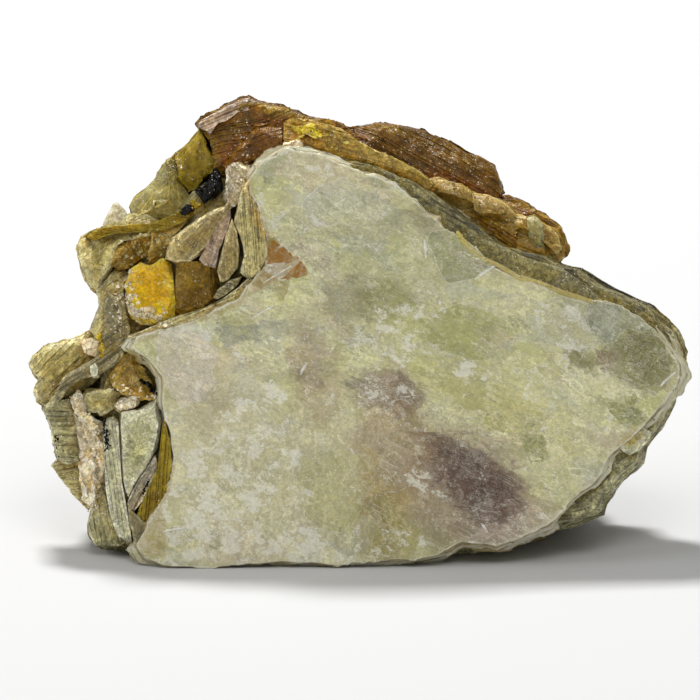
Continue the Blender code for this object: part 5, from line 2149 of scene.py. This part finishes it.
BLADE_BOOKS = (
    Book(
        "green_blade",
        (
            (-30, 19.5), (-27.75, 19.75), (-25.5, 20.75), (-25, 18), (-25.5, 15),
            (-26.5, 12.5), (-28, 10.5), (-29, 8.75), (-29.75, 11), (-30, 14.75),
        ),
        ((1.2, -0.5), (1.6, 0), (3, 0), (3.2, 0.4), (6, 0.4)),
        slope=(-0.15, 0.0),
        finish=Finish.PALE_GREEN,
        hinge=(-29, -6), fibrous=0.35, lines=3.0,
        lie=(0, 1, 0), sheet=0.45, ragged=0.3, rough=0.04, grain=0.5, facet=0.06,
    ),
    Book(
        "slim_blades",
        (
            (-32, 18.5), (-31, 18.75), (-30.25, 18), (-30, 14.75), (-29.75, 10.5),
            (-29, 6.5), (-28.5, 3), (-30, 3.5), (-31, 6), (-31.75, 9.75), (-32, 14),
        ),
        ((2.0, -0.4), (2.5, 0), (5, 0.2), (8, 0.4)),
        slope=(-0.35, 0.0),
        finish=Finish.PALE_GREEN,
        lie=(1, -0.2, 0.15), sheet=0.45, ragged=0.7, rough=0.05, grain=0.5,
    ),
    Book(
        "grey_blade",
        (
            (-25.5, 14.25), (-25, 12.75), (-26, 10.75), (-27, 8.5), (-28.25, 7), (-29, 6),
            (-29.25, 7.75), (-28.5, 9.5), (-27, 12),
        ),
        ((0.6, -0.3), (0.9, 0), (4, 0.2)),
        slope=(-0.12, 0.0),
        finish=Finish.LILAC,
        lie=(0.87, -0.2, -0.5), sheet=0.35, ragged=0.3, rough=0.04, grain=0.4,
    ),
    Book(
        "yellow_strip",
        (
            (-24.5, 18.5), (-23.75, 16.25), (-23.5, 12.75), (-24.25, 9.25), (-25.5, 6.75),
            (-27.4, 4.8), (-28.4, 5.4), (-27.6, 7.6), (-26.4, 10.4), (-25.3, 12.6), (-25, 14.75),
        ),
        ((0.2, -0.3), (0.5, 0), (4, 0.4)),
        slope=(-0.2, 0.0),
        finish=Finish.YELLOW_GREEN,
        lie=(1, -0.2, -0.1), sheet=0.35, ragged=0.3, rough=0.04, grain=0.4,
    ),
    Book(
        "bottom_left_book",
        (
            (-32.5, 12.25), (-31.75, 9.75), (-31, 6.25), (-29.5, 3), (-30.5, 2.25),
            (-32, 2), (-33, 2.5), (-34, 4), (-34.25, 5.5), (-33.75, 7), (-33.5, 9.5),
            (-33, 11.25),
        ),
        slab(4.2, 14, 0.8),
        slope=(-0.3, 0.0),
        finish=Finish.MOSS,
        chips=5,
        lie=(0.95, 0.2, 0.2), sheet=0.5, ragged=0.6, rough=0.12, grain=0.55, facet=0.25,
    ),
)

BACK_BOOKS = (
    Book(
        "heart_book",
        (
            (-26, 42), (-20.8, 48), (-11, 52), (-1, 52), (10, 47), (20, 39.5), (30, 32),
            (36, 27), (36, 20), (31, 11), (23, 3.5), (12, 1), (-4, 1.5), (-18, 0.5),
            (-27, 2.5), (-32, 9), (-33.5, 21), (-31, 31),
        ),
        ((5.35, -1), (8, 0), (12.2, 0.4), (15.1, 0), (15.5, -1.9), (18.3, -1.6), (18.7, -3.8),
         (23.2, -4.6)),
        finish=Finish.MOSS,
        lie=(0, 1, 0), sheet=1.0, ragged=0.8, rough=0.12, bend=0.4, grain=1.5, facet=0.3,
    ),
    Book(
        "back_face_book",
        (
            (-22, 36), (-12, 43), (0, 46), (13, 41), (24, 32), (29, 20), (22, 9), (4, 3.5),
            (-14, 4), (-25, 14), (-27, 27),
        ),
        ((17.2, 0.6), (20.6, 0.3), (21.0, -1), (24.1, -0.9), (24.5, -2.6), (26.8, -2.4),
         (27.3, -4.3), (28.4, -5)),
        slope=(0.07, -0.08),
        drift=(0.25, 0.2),
        finish=Finish.PALE_GREEN,
        lie=(-0.07, 1, 0.08), sheet=0.8, ragged=0.7, rough=0.06, bend=0.3, wander=0.9, grain=1.35, facet=0.1,
    ),
    Book(
        "back_cleft_book",
        ((-24, 26), (-16, 33), (-6, 34), (-1, 24), (-5, 11), (-17, 7), (-26, 14)),
        ((20, 0.5), (26, 0), (26.4, -1.3), (28.9, -1.1), (29.3, -2.8), (30.4, -3)),
        slope=(-0.1, 0.03),
        drift=(-0.2, -0.1),
        finish=Finish.MOSS,
        lie=(0.1, 1, -0.03), sheet=0.8, ragged=0.7, rough=0.08, bend=0.3, wander=0.9, grain=1.25, facet=0.15,
    ),
    Book(
        "back_upper_book",
        ((-20, 44), (-14, 52), (-4, 53.5), (6, 52), (12, 46), (2, 38), (-12, 36)),
        ((13, 0), (20.2, -0.3), (20.6, -1.4), (23.3, -1.8), (24.2, -3)),
        slope=(-0.08, 0.1),
        finish=Finish.BROWN,
        lie=(0.08, 1, -0.1), sheet=0.8, ragged=0.7, rough=0.12, bend=0.3, grain=1.25, facet=0.3,
    ),
    Book(
        "back_right_book",
        ((18, 34), (30, 31.5), (36.5, 24), (34, 12), (25, 6), (16, 12)),
        ((12.4, 0), (17.4, -0.4), (17.8, -1.6), (21.4, -2), (22.3, -3)),
        slope=(0.15, 0.0),
        drift=(-0.1, 0.2),
        finish=Finish.PALE_GREEN,
        lie=(-0.15, 1, 0), sheet=0.8, ragged=0.6, rough=0.08, bend=0.3, wander=0.9, grain=1.25, facet=0.15,
    ),
    Book(
        "back_shelf_book",
        ((6, 16), (14, 20), (26, 17), (31, 9), (22, 3.5), (9, 3)),
        ((13.2, 0), (19.6, 0.6), (20, -0.6), (23.6, -0.4), (24.3, -1.9)),
        slope=(0.05, 0.2),
        finish=Finish.GREY_FIBRE,
        lie=(-0.05, 1, -0.2), sheet=0.8, ragged=0.6, rough=0.1, bend=0.3, grain=1.25, facet=0.2,
    ),
    Book(
        "back_left_book",
        (
            (-31, 38), (-24, 41), (-20, 32), (-22, 18), (-29, 5), (-33, 8), (-37, 17),
            (-38, 23), (-36.5, 27), (-32.5, 31),
        ),
        ((9.3, 0), (14.2, -0.4), (14.6, -1.4), (18.5, -1.8), (19.4, -3)),
        slope=(-0.2, 0.05),
        finish=Finish.MOSS,
        lie=(0.2, 1, -0.05), sheet=0.8, ragged=0.7, rough=0.12, bend=0.3, grain=1.25, facet=0.3,
    ),
)

GRAIN_LOOKS = {
    "lie": (0.4, 0.8, 0.4), "sheet": 9.0, "ragged": 0.25, "rough": 0.3, "bend": 0.1, "facet": 0.4, "chips": 8,
}
TOURMALINE = Book(
    "black_tourmaline",
    (
        (-18, 50.25), (-17, 49), (-17.25, 47.25), (-18, 46.25), (-19.5, 45.5), (-20, 46),
        (-20.5, 47.25), (-19.5, 48.25), (-18.75, 49.25),
    ),
    ((3.6, -0.5), (4.3, 0), (9, -0.6)),
    slope=(0.0, 0.1),
    crown=0.3,
    finish=Finish.TOURMALINE,
    grain=0.35,
    **GRAIN_LOOKS,
)
TOURMALINE_SLIVER = Book(
    "black_tourmaline_sliver",
    ((-22.75, 44.5), (-21.75, 45.5), (-20.5, 45), (-21.25, 44.25), (-22, 43.75)),
    ((2.5, -0.2), (2.9, 0), (5.5, -0.3)),
    finish=Finish.TOURMALINE,
    grain=0.3,
    **GRAIN_LOOKS,
)
FELDSPAR_LUMP = Book(
    "feldspar_lump",
    (
        (-35, 28.5), (-34.5, 29), (-33.5, 29), (-32.5, 28.5), (-32.5, 27.25),
        (-33.25, 26.25), (-34.5, 26.5), (-35, 27.25),
    ),
    ((3.6, -0.6), (4.2, 0), (8, -0.4)),
    crown=0.4,
    finish=Finish.FELDSPAR,
    grain=0.3,
    **GRAIN_LOOKS,
)
FELDSPAR_CREST_GRAIN = Book(
    "feldspar_crest_grain",
    ((-9.75, 52.5), (-9.75, 53.5), (-7.5, 53.75), (-7, 53), (-7.75, 52.5)),
    ((2.0, -0.2), (2.4, 0), (5.5, -0.2)),
    finish=Finish.FELDSPAR,
    grain=0.25,
    **GRAIN_LOOKS,
)
FELDSPAR_CRUMBS = Book(
    "feldspar_crumbs",
    (
        (-29.25, 33.5), (-28, 34), (-27.25, 32.75), (-25.5, 33), (-25, 31.5),
        (-26.25, 30.75), (-28, 31), (-29, 32),
    ),
    ((1.7, -0.4), (2.1, 0), (5, -0.4)),
    slope=(0.0, 0.05),
    crown=0.3,
    finish=Finish.FELDSPAR,
    grain=0.3,
    **GRAIN_LOOKS,
)

FACE_FLAKES = (
    Flake(  # pale top sheet
        (
            (-7.1, 46), (-6.2, 46.8), (-5.2, 47.6), (-3.9, 48.2), (-2.5, 48.6), (-1.8, 48.8),
            (-1, 48.1), (0, 47.6), (1.5, 47), (3.1, 46.1), (4.1, 45.5), (4.8, 44.8), (4.9, 43.8),
            (5.5, 42.8), (5.2, 41), (3.1, 39.8), (-1.2, 39.5), (-5, 40.8), (-7.1, 43.2),
        ),
        0.1, "babaa0", 0.5, (-90, -45.4, -41.0), pale_edge=0.85,
    ),
    Flake(  # orange stain
        (
            (-10.9, 40.9), (-9.6, 40.1), (-8.5, 39.2), (-7.6, 38.8), (-6.8, 37.8), (-6.6, 36.6),
            (-7.8, 36.2), (-8.9, 36.1), (-9.9, 36.5), (-11, 37.2), (-11.8, 38.8),
        ),
        0.03, "9c6806", 0.94, wander=0.5, broken=0.2,
    ),
    Flake(  # yellow bit
        (
            (-10.4, 35.9), (-8.9, 35.9), (-9.1, 34.5), (-9.6, 33.4), (-11, 33.8), (-11.2, 34.6),
        ),
        0.03, "947c24", 0.8, (180, 8.5, 11.6),
    ),
    Flake(  # pink strip
        (
            (-6.8, 39), (-7.8, 38), (-9.2, 36.8), (-11, 35.5), (-12.8, 34.5), (-14.2, 34.2),
            (-13.8, 35.4), (-12.6, 36.6), (-11.5, 37.9), (-10.4, 38.2), (-9, 38.1),
        ),
        0.08, "b08c62", 0.5, broken=0.4, pale_edge=0.6,
    ),
    Flake(  # pink beige sheet
        (
            (-25.2, 29.4), (-23.5, 29.8), (-21.5, 29.6), (-19.6, 29.1), (-18.5, 28.2), (-17.6, 27),
            (-17.9, 25.8), (-18.4, 24.5), (-17.9, 23.2), (-18.8, 22), (-20.2, 20.8), (-22, 20),
            (-23.5, 21.2), (-24.6, 23.5), (-25.4, 25.8), (-25.6, 27.9),
        ),
        0.07, "d8ccb4", 0.75, (-76, -26.6, -20.5), wander=0.45, broken=0.2, pale_edge=0.9,
    ),
    Flake(  # right pale sheet
        (
            (25, 34), (26.9, 33.6), (28.5, 33.2), (28.4, 31.6), (28.2, 30.8), (28.8, 29.8),
            (29.5, 28.9), (30.1, 27.9), (28.1, 27), (25, 27.5), (21.2, 28.5), (20, 31.2), (21.9, 33.2),
        ),
        0.1, "c3c0a0", 0.5, (180, -24.5, -20.5), pale_edge=0.75,
    ),
    Flake(  # grey green sheet
        (
            (28.6, 33.1), (30.2, 33.4), (32.5, 32.9), (35, 31.2), (36.9, 29.6), (35, 29.6), (33.5, 30),
            (32.5, 29.1), (31.8, 28.2), (30.4, 27.9), (29.5, 28.9), (28.8, 29.8), (28.4, 30.8),
            (28.5, 31.6),
        ),
        0.02, "8d9078", 0.6, pale_edge=0.5,
    ),
    Flake(  # glassy oval
        (
            (30.4, 27.9), (31.9, 28.2), (32.5, 29.1), (33.5, 30), (35, 29.5), (36.9, 29.1),
            (38.1, 28.2), (38.5, 26), (39, 24.5), (38.1, 22.5), (36.9, 21.5), (35.6, 21.9),
            (33.8, 22.9), (31.9, 23.8), (30.6, 25.4), (30, 27),
        ),
        0.05, "8a8658", 0.6, pale_edge=0.4,
    ),
    Flake(  # oval core
        (
            (32.8, 27.2), (33.8, 28.1), (35.5, 28.4), (36.9, 27.2), (37.1, 25.5), (36.2, 24.2),
            (35, 23.9), (33.8, 25), (33, 26),
        ),
        0.055, "77713c", 0.5,
    ),
    Flake(  # olive window
        (
            (8.8, 42), (11, 42.2), (12.9, 41.2), (14.8, 39.8), (15.5, 38.9), (16.6, 37.4), (13.6, 36),
            (11.2, 35.4), (10.5, 36.1), (9.9, 37.2), (9.2, 39), (8.5, 40.5),
        ),
        0.03, "8f9162", 0.65, pale_edge=0.5,
    ),
    Flake(  # yellow green sheet
        (
            (10.8, 32.6), (9.8, 31.8), (8.1, 30.6), (8, 29.4), (8.8, 28.1), (10, 27.2), (12, 26.5),
            (15, 25.8), (18.1, 26), (20, 27.9), (18.8, 30.4), (16.2, 32.2), (13.1, 33),
        ),
        0.04, "a8a85c", 0.5, (-15, 5.5, 11.5), pale_edge=0.6,
    ),
    Flake(  # green panel
        (
            (-7.5, 14.8), (-4.4, 15.1), (-1.8, 13.8), (-0.6, 11.6), (0, 9.6), (0.2, 7.4), (-0.6, 5.9),
            (-2.1, 4.2), (-5, 4.8), (-7.1, 6.6), (-7.9, 8.5), (-8, 12.2),
        ),
        0.05, "b6b276", 0.5, (90, 13.0, 15.8), pale_edge=0.5,
    ),
    Flake(  # brown corner
        (
            (0.2, 8.1), (1.5, 8.9), (2.8, 9.2), (2.5, 7.5), (3.2, 6), (4, 4.8), (3.5, 3.8), (2.5, 4.8),
            (1.8, 6.5), (0.9, 7.1),
        ),
        0.03, "8c7d42", 0.7,
    ),
    Flake(  # white corner
        (
            (-0.8, 4.8), (-0.2, 5.9), (0.8, 6.6), (1.5, 6.2), (2, 4.5), (1.5, 3), (0.1, 2.4),
            (-0.6, 3.4),
        ),
        0.07, "c4c1a4", 0.45, broken=0.6, pale_edge=0.6,
    ),
    Flake(  # olive nick
        (
            (-24.4, 4.8), (-22.5, 5.2), (-21, 4.8), (-21.2, 3.2), (-22.5, 2.5), (-23.8, 3.2),
        ),
        0.02, "9a9464", 0.6,
    ),
    Flake(  # olive nicks
        (
            (25.4, 27.2), (26.5, 27.5), (27.8, 26.6), (29.2, 27), (30, 25.5), (28.8, 25), (27, 25.2),
            (25.8, 26),
        ),
        0.02, "8d8a58", 0.6,
    ),
    Flake(  # right olive
        (
            (31.2, 20), (32.8, 20.5), (35, 19.8), (36, 18.8), (34.2, 18.5), (33, 17.8), (31.5, 18.5),
        ),
        0.02, "8a8a50", 0.6, (180, -33.2, -30.6),
    ),
    Flake(  # blue band
        (
            (-18.1, 30.8), (-15, 30.2), (-11.9, 30.8), (-8.8, 31), (-5.2, 31), (-3, 30.2), (-4, 29.2),
            (-7.5, 28.9), (-11.2, 28.6), (-15, 28.5), (-16.5, 27.5), (-17.2, 27.8), (-18, 29.2),
        ),
        0.02, "7c8783", 0.6, (0, -13.0, -2.8), wander=0.5, broken=0.75,
    ),
    Flake(  # yellow rim
        (
            (12.2, 42.2), (13.5, 40.6), (15, 39.2), (17.5, 38), (20, 36.6), (22.5, 35.9),
            (25, 34.9), (29.2, 33.5), (29, 33.1), (25, 34.2), (22.5, 35.4), (20, 36),
            (17.5, 37.4), (15, 38.6), (13.2, 40.1), (12, 41.6),
        ),
        0.1, "b29c34", 0.8,
    ),
)

# Raised splinters on the face, whose near-white tone is a painted highlight: two ends and a width, in mm.
FACE_GLINTS = (
    ((8.1, 41), (8.2, 38.8), 0.40),
    ((-13.5, 31.2), (-10.8, 32.8), 0.28),
    ((14.4, 36.2), (17.1, 37.9), 0.40),
    ((37.5, 22.8), (39.5, 24.5), 0.42),
    ((22.5, 17.2), (23.5, 17.6), 0.38),
    ((15.2, 5.6), (15.9, 4.4), 0.35),
    ((-1.2, 15), (-0.8, 14.2), 0.33),
    ((-7, 46), (-5.1, 47.6), 0.23),
    ((-12.2, 35.6), (-8.5, 37.8), 0.20),
    ((-24.6, 4.6), (-21.9, 5), 0.33),
    ((-7.5, 24.2), (-6.6, 25.6), 0.42),
)
FACE_CRACKS = (
    (
        (-16.9, 21.2), (-15, 21.5), (-12.8, 21.4), (-11.5, 20.5), (-10.6, 19.5),
        (-9, 18.8), (-7.5, 18.5), (-5.6, 18.1),
    ),
    ((-21, 14), (-19.5, 14.2), (-18.1, 14.4), (-16.8, 15.1), (-15.6, 16)),
    ((2.2, 31.1), (3, 31.8), (4, 32.2), (4.9, 32.8), (5.6, 33), (6.2, 33.9), (8.1, 34.6)),
    (
        (-0.2, 20.4), (0.4, 20.9), (1, 21.2), (1.6, 21.5), (2.2, 21.6),
        (3, 21), (3.8, 20.8), (5, 21.1), (6.2, 20.8),
    ),
    ((-4.1, 50.4), (-4, 49.2), (-3.9, 48.2)),
    ((28.5, 33.2), (28.4, 31.6), (28.2, 30.8), (28.8, 29.8), (29.5, 28.9), (30.1, 27.9)),
    ((1.5, 9), (3, 9.5), (4.5, 9.5), (6, 10.1), (6.8, 11)),
    ((7.5, 26.6), (8.8, 26.1), (10, 25.8), (11.9, 25.6), (13.8, 24.8)),
)


def painted_glint(start: tuple[float, float], end: tuple[float, float], width: float) -> Flake:
    """A bright splinter of a sheet that stands off the face; its near-white tone is a painted highlight.

    Args:
        start: one end, as (right, up) in mm.
        end: the other end.
        width: how wide it is.

    Returns:
        The splinter as a flake.
    """
    here, there = Vector(start), Vector(end)
    side = (there - here).orthogonal().normalized() * (width / 2)
    spots = (here, here.lerp(there, 0.3) + side, there + side * 0.6, there - side * 0.4, here - side * 0.8)
    outline = tuple(spot[:] for spot in spots)
    return Flake(outline, 0.1, "f2f0e6", 0.85, wander=0.07, spacing=0.15, broken=0.35)


def crack(points: Outline) -> Flake:
    """A white ragged line where a sheet inside the crystal ends.

    Args:
        points: the line, as (right, up) in mm.

    Returns:
        The line as a thin flake.
    """
    spots = [Vector(point) for point in points]
    ways = [after - before for before, after in zip([spots[0], *spots], [*spots[1:], spots[-1]])]
    sides = [way.orthogonal().normalized() * CRACK_WIDTH / 2 for way in ways]
    there = [spot + side for spot, side in zip(spots, sides, strict=True)]
    back = [spot - side for spot, side in zip(spots, sides, strict=True)]
    outline = tuple(spot[:] for spot in there + back[::-1])
    return Flake(outline, 0.04, "d6d3bc", 0.7, wander=0.13, spacing=0.2, broken=1.0)


CREST_CRUMBS = (
    Crumbs("crest_bits", ((-13.8, 56.2), (-10, 57.2), (-5, 55.4)), Finish.BROWN, 20, 1.0, (0.1, 0.3)),
    Crumbs("crest_gold_bits", ((-5.2, 54), (-3.8, 52.2)), Finish.GOLD, 24, 0.6, (0.12, 0.4)),
    Crumbs("back_bits", ((1.2, 53.5), (7.5, 52.2), (13.8, 48.5)), Finish.GOLD, 30, 1.2, (0.08, 0.3)),
)
GOLDEN_CRUMBS = (
    Crumbs(
        "ledge_bits", ((9.4, 47.5), (15, 46), (20, 43.2), (23.8, 40.4)), Finish.PINK_GOLD, 50, 1.0, (0.1, 0.4)
    ),
)
UPPER_LEFT_CRUMBS = (
    Crumbs(
        "pocket_bits", ((-28.8, 38.8), (-26.2, 40.4), (-23, 41.5)), Finish.OLIVE, 60, 0.9, (0.15, 0.5)
    ),
    Crumbs(
        "olive_top_bits", ((-24.9, 48.6), (-23.6, 50), (-22.6, 51)), Finish.PINK_CREAM, 70, 0.4, (0.08, 0.24)
    ),
    Crumbs(
        "pink_seam_bits", ((-12.8, 51), (-15, 49.5), (-16, 46.5)), Finish.PINK_CREAM, 50, 0.5, (0.12, 0.4)
    ),
    Crumbs("yellow_bits", ((-21, 45.7), (-20.1, 45.1)), Finish.AMBER, 16, 0.3, (0.2, 0.5)),
)
AMBER_CRUMBS = (
    Crumbs(
        "amber_rim_bits",
        ((-29.2, 36.4), (-29.2, 34), (-28.6, 32), (-26.6, 31.2), (-24.4, 31.2)),
        Finish.CREAM,
        110, 0.5, (0.15, 0.6),
    ),
    Crumbs("bowl_bits", ((-22.8, 33.2), (-20, 32.8), (-17.2, 34.8)), Finish.DARK_AMBER, 30, 0.5, (0.1, 0.3)),
)
FLANK_CRUMBS = (
    Crumbs("column_bits", ((-31, 34.5), (-30.2, 31.2), (-29.8, 28.5)), Finish.CREAM, 40, 0.5, (0.12, 0.4)),
    Crumbs(
        "flank_bits",
        ((-35.2, 21.6), (-34.9, 19.4), (-33.2, 18), (-33, 14), (-32.9, 9.5), (-33.4, 6.5)),
        Finish.CREAM,
        120, 0.35, (0.12, 0.45),
    ),
    Crumbs("nodule_bits", ((-31.2, 22.9), (-29, 22), (-26.2, 21.5)), Finish.CREAM, 26, 0.5, (0.12, 0.4)),
    Crumbs("amber_bits", ((-32.6, 28.8), (-32.3, 26.6)), Finish.AMBER, 12, 0.15, (0.3, 0.7)),
    Crumbs(
        "black_streak",
        ((-27.4, 23.4), (-26.4, 22.9), (-25.5, 21.6)),
        Finish.TOURMALINE,
        70, 0.1, (0.12, 0.4),
    ),
    Crumbs(
        "black_blade_bits",
        ((-32.1, 18.6), (-31.7, 16.8), (-31.6, 14.8)),
        Finish.TOURMALINE,
        80, 0.17, (0.1, 0.36),
    ),
    Crumbs(
        "black_flecks", ((-38.2, 17.2), (-37.9, 15), (-37.2, 14)), Finish.TOURMALINE, 12, 0.25, (0.1, 0.3)
    ),
    Crumbs("black_hairs", ((-26.3, 11), (-27.4, 9)), Finish.TOURMALINE, 34, 0.1, (0.1, 0.3)),
)
EDGE_CRUMBS = (
    Crumbs(
        "bevel_bits",
        ((37.5, 18.5), (32.5, 12.2), (27.5, 7.2), (25, 4.8)),
        Finish.GREEN_BEVEL,
        40, 0.9, (0.1, 0.35),
    ),
)

CLUSTERS = (
    Cluster(
        "big_cleavage_face",
        BIG_FACE_BOOKS,
        FACE_FLAKES + tuple(painted_glint(*ends) for ends in FACE_GLINTS) + tuple(map(crack, FACE_CRACKS)),
        surface=0.14,
    ),
    Cluster("edge_sheets", EDGE_BOOKS, crumbs=EDGE_CRUMBS),
    Cluster("crest_sheets", CREST_BOOKS, crumbs=CREST_CRUMBS),
    Cluster("golden_ledge", GOLDEN_BOOKS, crumbs=GOLDEN_CRUMBS),
    Cluster("upper_left_sheets", UPPER_LEFT_BOOKS, crumbs=UPPER_LEFT_CRUMBS),
    Cluster("leaf_fan", LEAF_BOOKS),
    Cluster("amber_sheets", AMBER_BOOKS, crumbs=AMBER_CRUMBS),
    Cluster("left_flank_sheets", LEFT_FLANK_BOOKS, crumbs=FLANK_CRUMBS),
    Cluster("upright_blades", BLADE_BOOKS),
    Cluster("back_sheets", BACK_BOOKS),
    Cluster(
        "tourmaline_crystal", (TOURMALINE,), slot="tourmaline", node="black_tourmaline", sharp=24.0,
    ),
    Cluster(
        "tourmaline_sliver", (TOURMALINE_SLIVER,), slot="tourmaline", node="black_tourmaline_sliver",
        sharp=24.0,
    ),
    Cluster("cream_lump", (FELDSPAR_LUMP,), slot="feldspar", node="feldspar_lump", sharp=28.0),
    Cluster(
        "cream_crest_grain", (FELDSPAR_CREST_GRAIN,), slot="feldspar", node="feldspar_crest_grain",
        sharp=28.0,
    ),
    Cluster("cream_crumbs", (FELDSPAR_CRUMBS,), slot="feldspar", node="feldspar_crumbs", sharp=28.0),
)


@dataclass(frozen=True)
class Lamp:
    """A soft square lamp: where it stands, its side in metres and its power in watts."""

    name: str
    place: tuple[float, float, float]
    side: float
    power: float
    aim: tuple[float, float, float] = (0.0, 0.0, 0.02)

    def build(self) -> None:
        """Puts the lamp in the scene, facing its aim."""
        light = bpy.data.lights.new(self.name, "AREA")
        light.size = self.side
        light.energy = self.power
        lamp = bpy.data.objects.new(self.name, light)
        lamp.location = self.place
        ray = Vector(self.aim) - Vector(self.place)
        lamp.rotation_euler = ray.to_track_quat("-Z", "Y").to_euler()
        bpy.context.scene.collection.objects.link(lamp)


@dataclass(frozen=True)
class Studio:
    """The pale floor, the soft light and the camera."""

    floor_side: float = 8.0
    floor_colour: str = "cecece"
    sky: float = 0.3
    lamps: tuple[Lamp, ...] = (
        Lamp("high_lamp", (-0.14, 0.44, 0.95), 0.16, 11.5),
        Lamp("left_lamp", (-0.9, -0.3, 0.6), 0.5, 2.6),
        Lamp("front_lamp", (0.1, -0.95, 1.25), 0.6, 6.4),
    )
    width: float = 87.5  # what the picture's width spans at the specimen, in mm
    middle: tuple[float, float] = (-1.25, 27.25)
    distance: float = 2.4
    sensor: float = 36.0

    def build(self) -> None:
        """Puts the floor, the lamps, the sky and the camera in the scene."""
        self.lay_floor()
        for lamp in self.lamps:
            lamp.build()
        self.light_sky()
        self.set_camera()
        bpy.context.scene.view_settings.view_transform = "Standard"

    def lay_floor(self) -> None:
        """Lays the floor with a plain pale finish."""
        bm = bmesh.new()
        bmesh.ops.create_grid(bm, x_segments=1, y_segments=1, size=self.floor_side / 2)
        mesh = bpy.data.meshes.new("floor")
        bm.to_mesh(mesh)
        bm.free()
        floor = bpy.data.objects.new("floor", mesh)
        material = bpy.data.materials.new("pale_floor")
        material.use_nodes = True
        shader = material.node_tree.nodes["Principled BSDF"]
        shader.inputs["Base Color"].default_value = tint(self.floor_colour)
        shader.inputs["Roughness"].default_value = 0.9
        mesh.materials.append(material)
        bpy.context.scene.collection.objects.link(floor)

    def light_sky(self) -> None:
        """Gives an even white sky."""
        world = bpy.data.worlds.new("sky")
        world.use_nodes = True
        background = world.node_tree.nodes["Background"]
        background.inputs["Color"].default_value = (1.0, 1.0, 1.0, 1.0)
        background.inputs["Strength"].default_value = self.sky
        bpy.context.scene.world = world

    def set_camera(self) -> None:
        """Looks straight at the big face from far away."""
        lens = bpy.data.cameras.new("camera")
        lens.sensor_width = self.sensor
        lens.lens = self.sensor * self.distance / (self.width * MM)
        lens.clip_start = 0.1
        lens.clip_end = 50.0
        camera = bpy.data.objects.new("camera", lens)
        target = stand(Vector((self.middle[0], 0.0, self.middle[1])))
        camera.location = target + Vector((0.0, -math.cos(LEAN), math.sin(LEAN))) * self.distance
        camera.rotation_euler = (math.pi / 2 - LEAN, 0.0, 0.0)
        bpy.context.scene.collection.objects.link(camera)
        bpy.context.scene.camera = camera


def main() -> None:
    """Builds the studio and every piece of the specimen."""
    logging.basicConfig(level=logging.INFO, format="%(message)s")
    Studio().build()
    used = {part.finish for cluster in CLUSTERS for part in cluster.books + cluster.crumbs}
    materials = {
        finish: finish.value.material(finish.name.lower()) for finish in Finish if finish in used
    }
    ground = Ground()
    forms = {book.name: ground.add(book) for cluster in CLUSTERS for book in cluster.books}
    for cluster in CLUSTERS:
        cluster.build(materials, ground, forms)


if __name__ == "__main__":
    main()
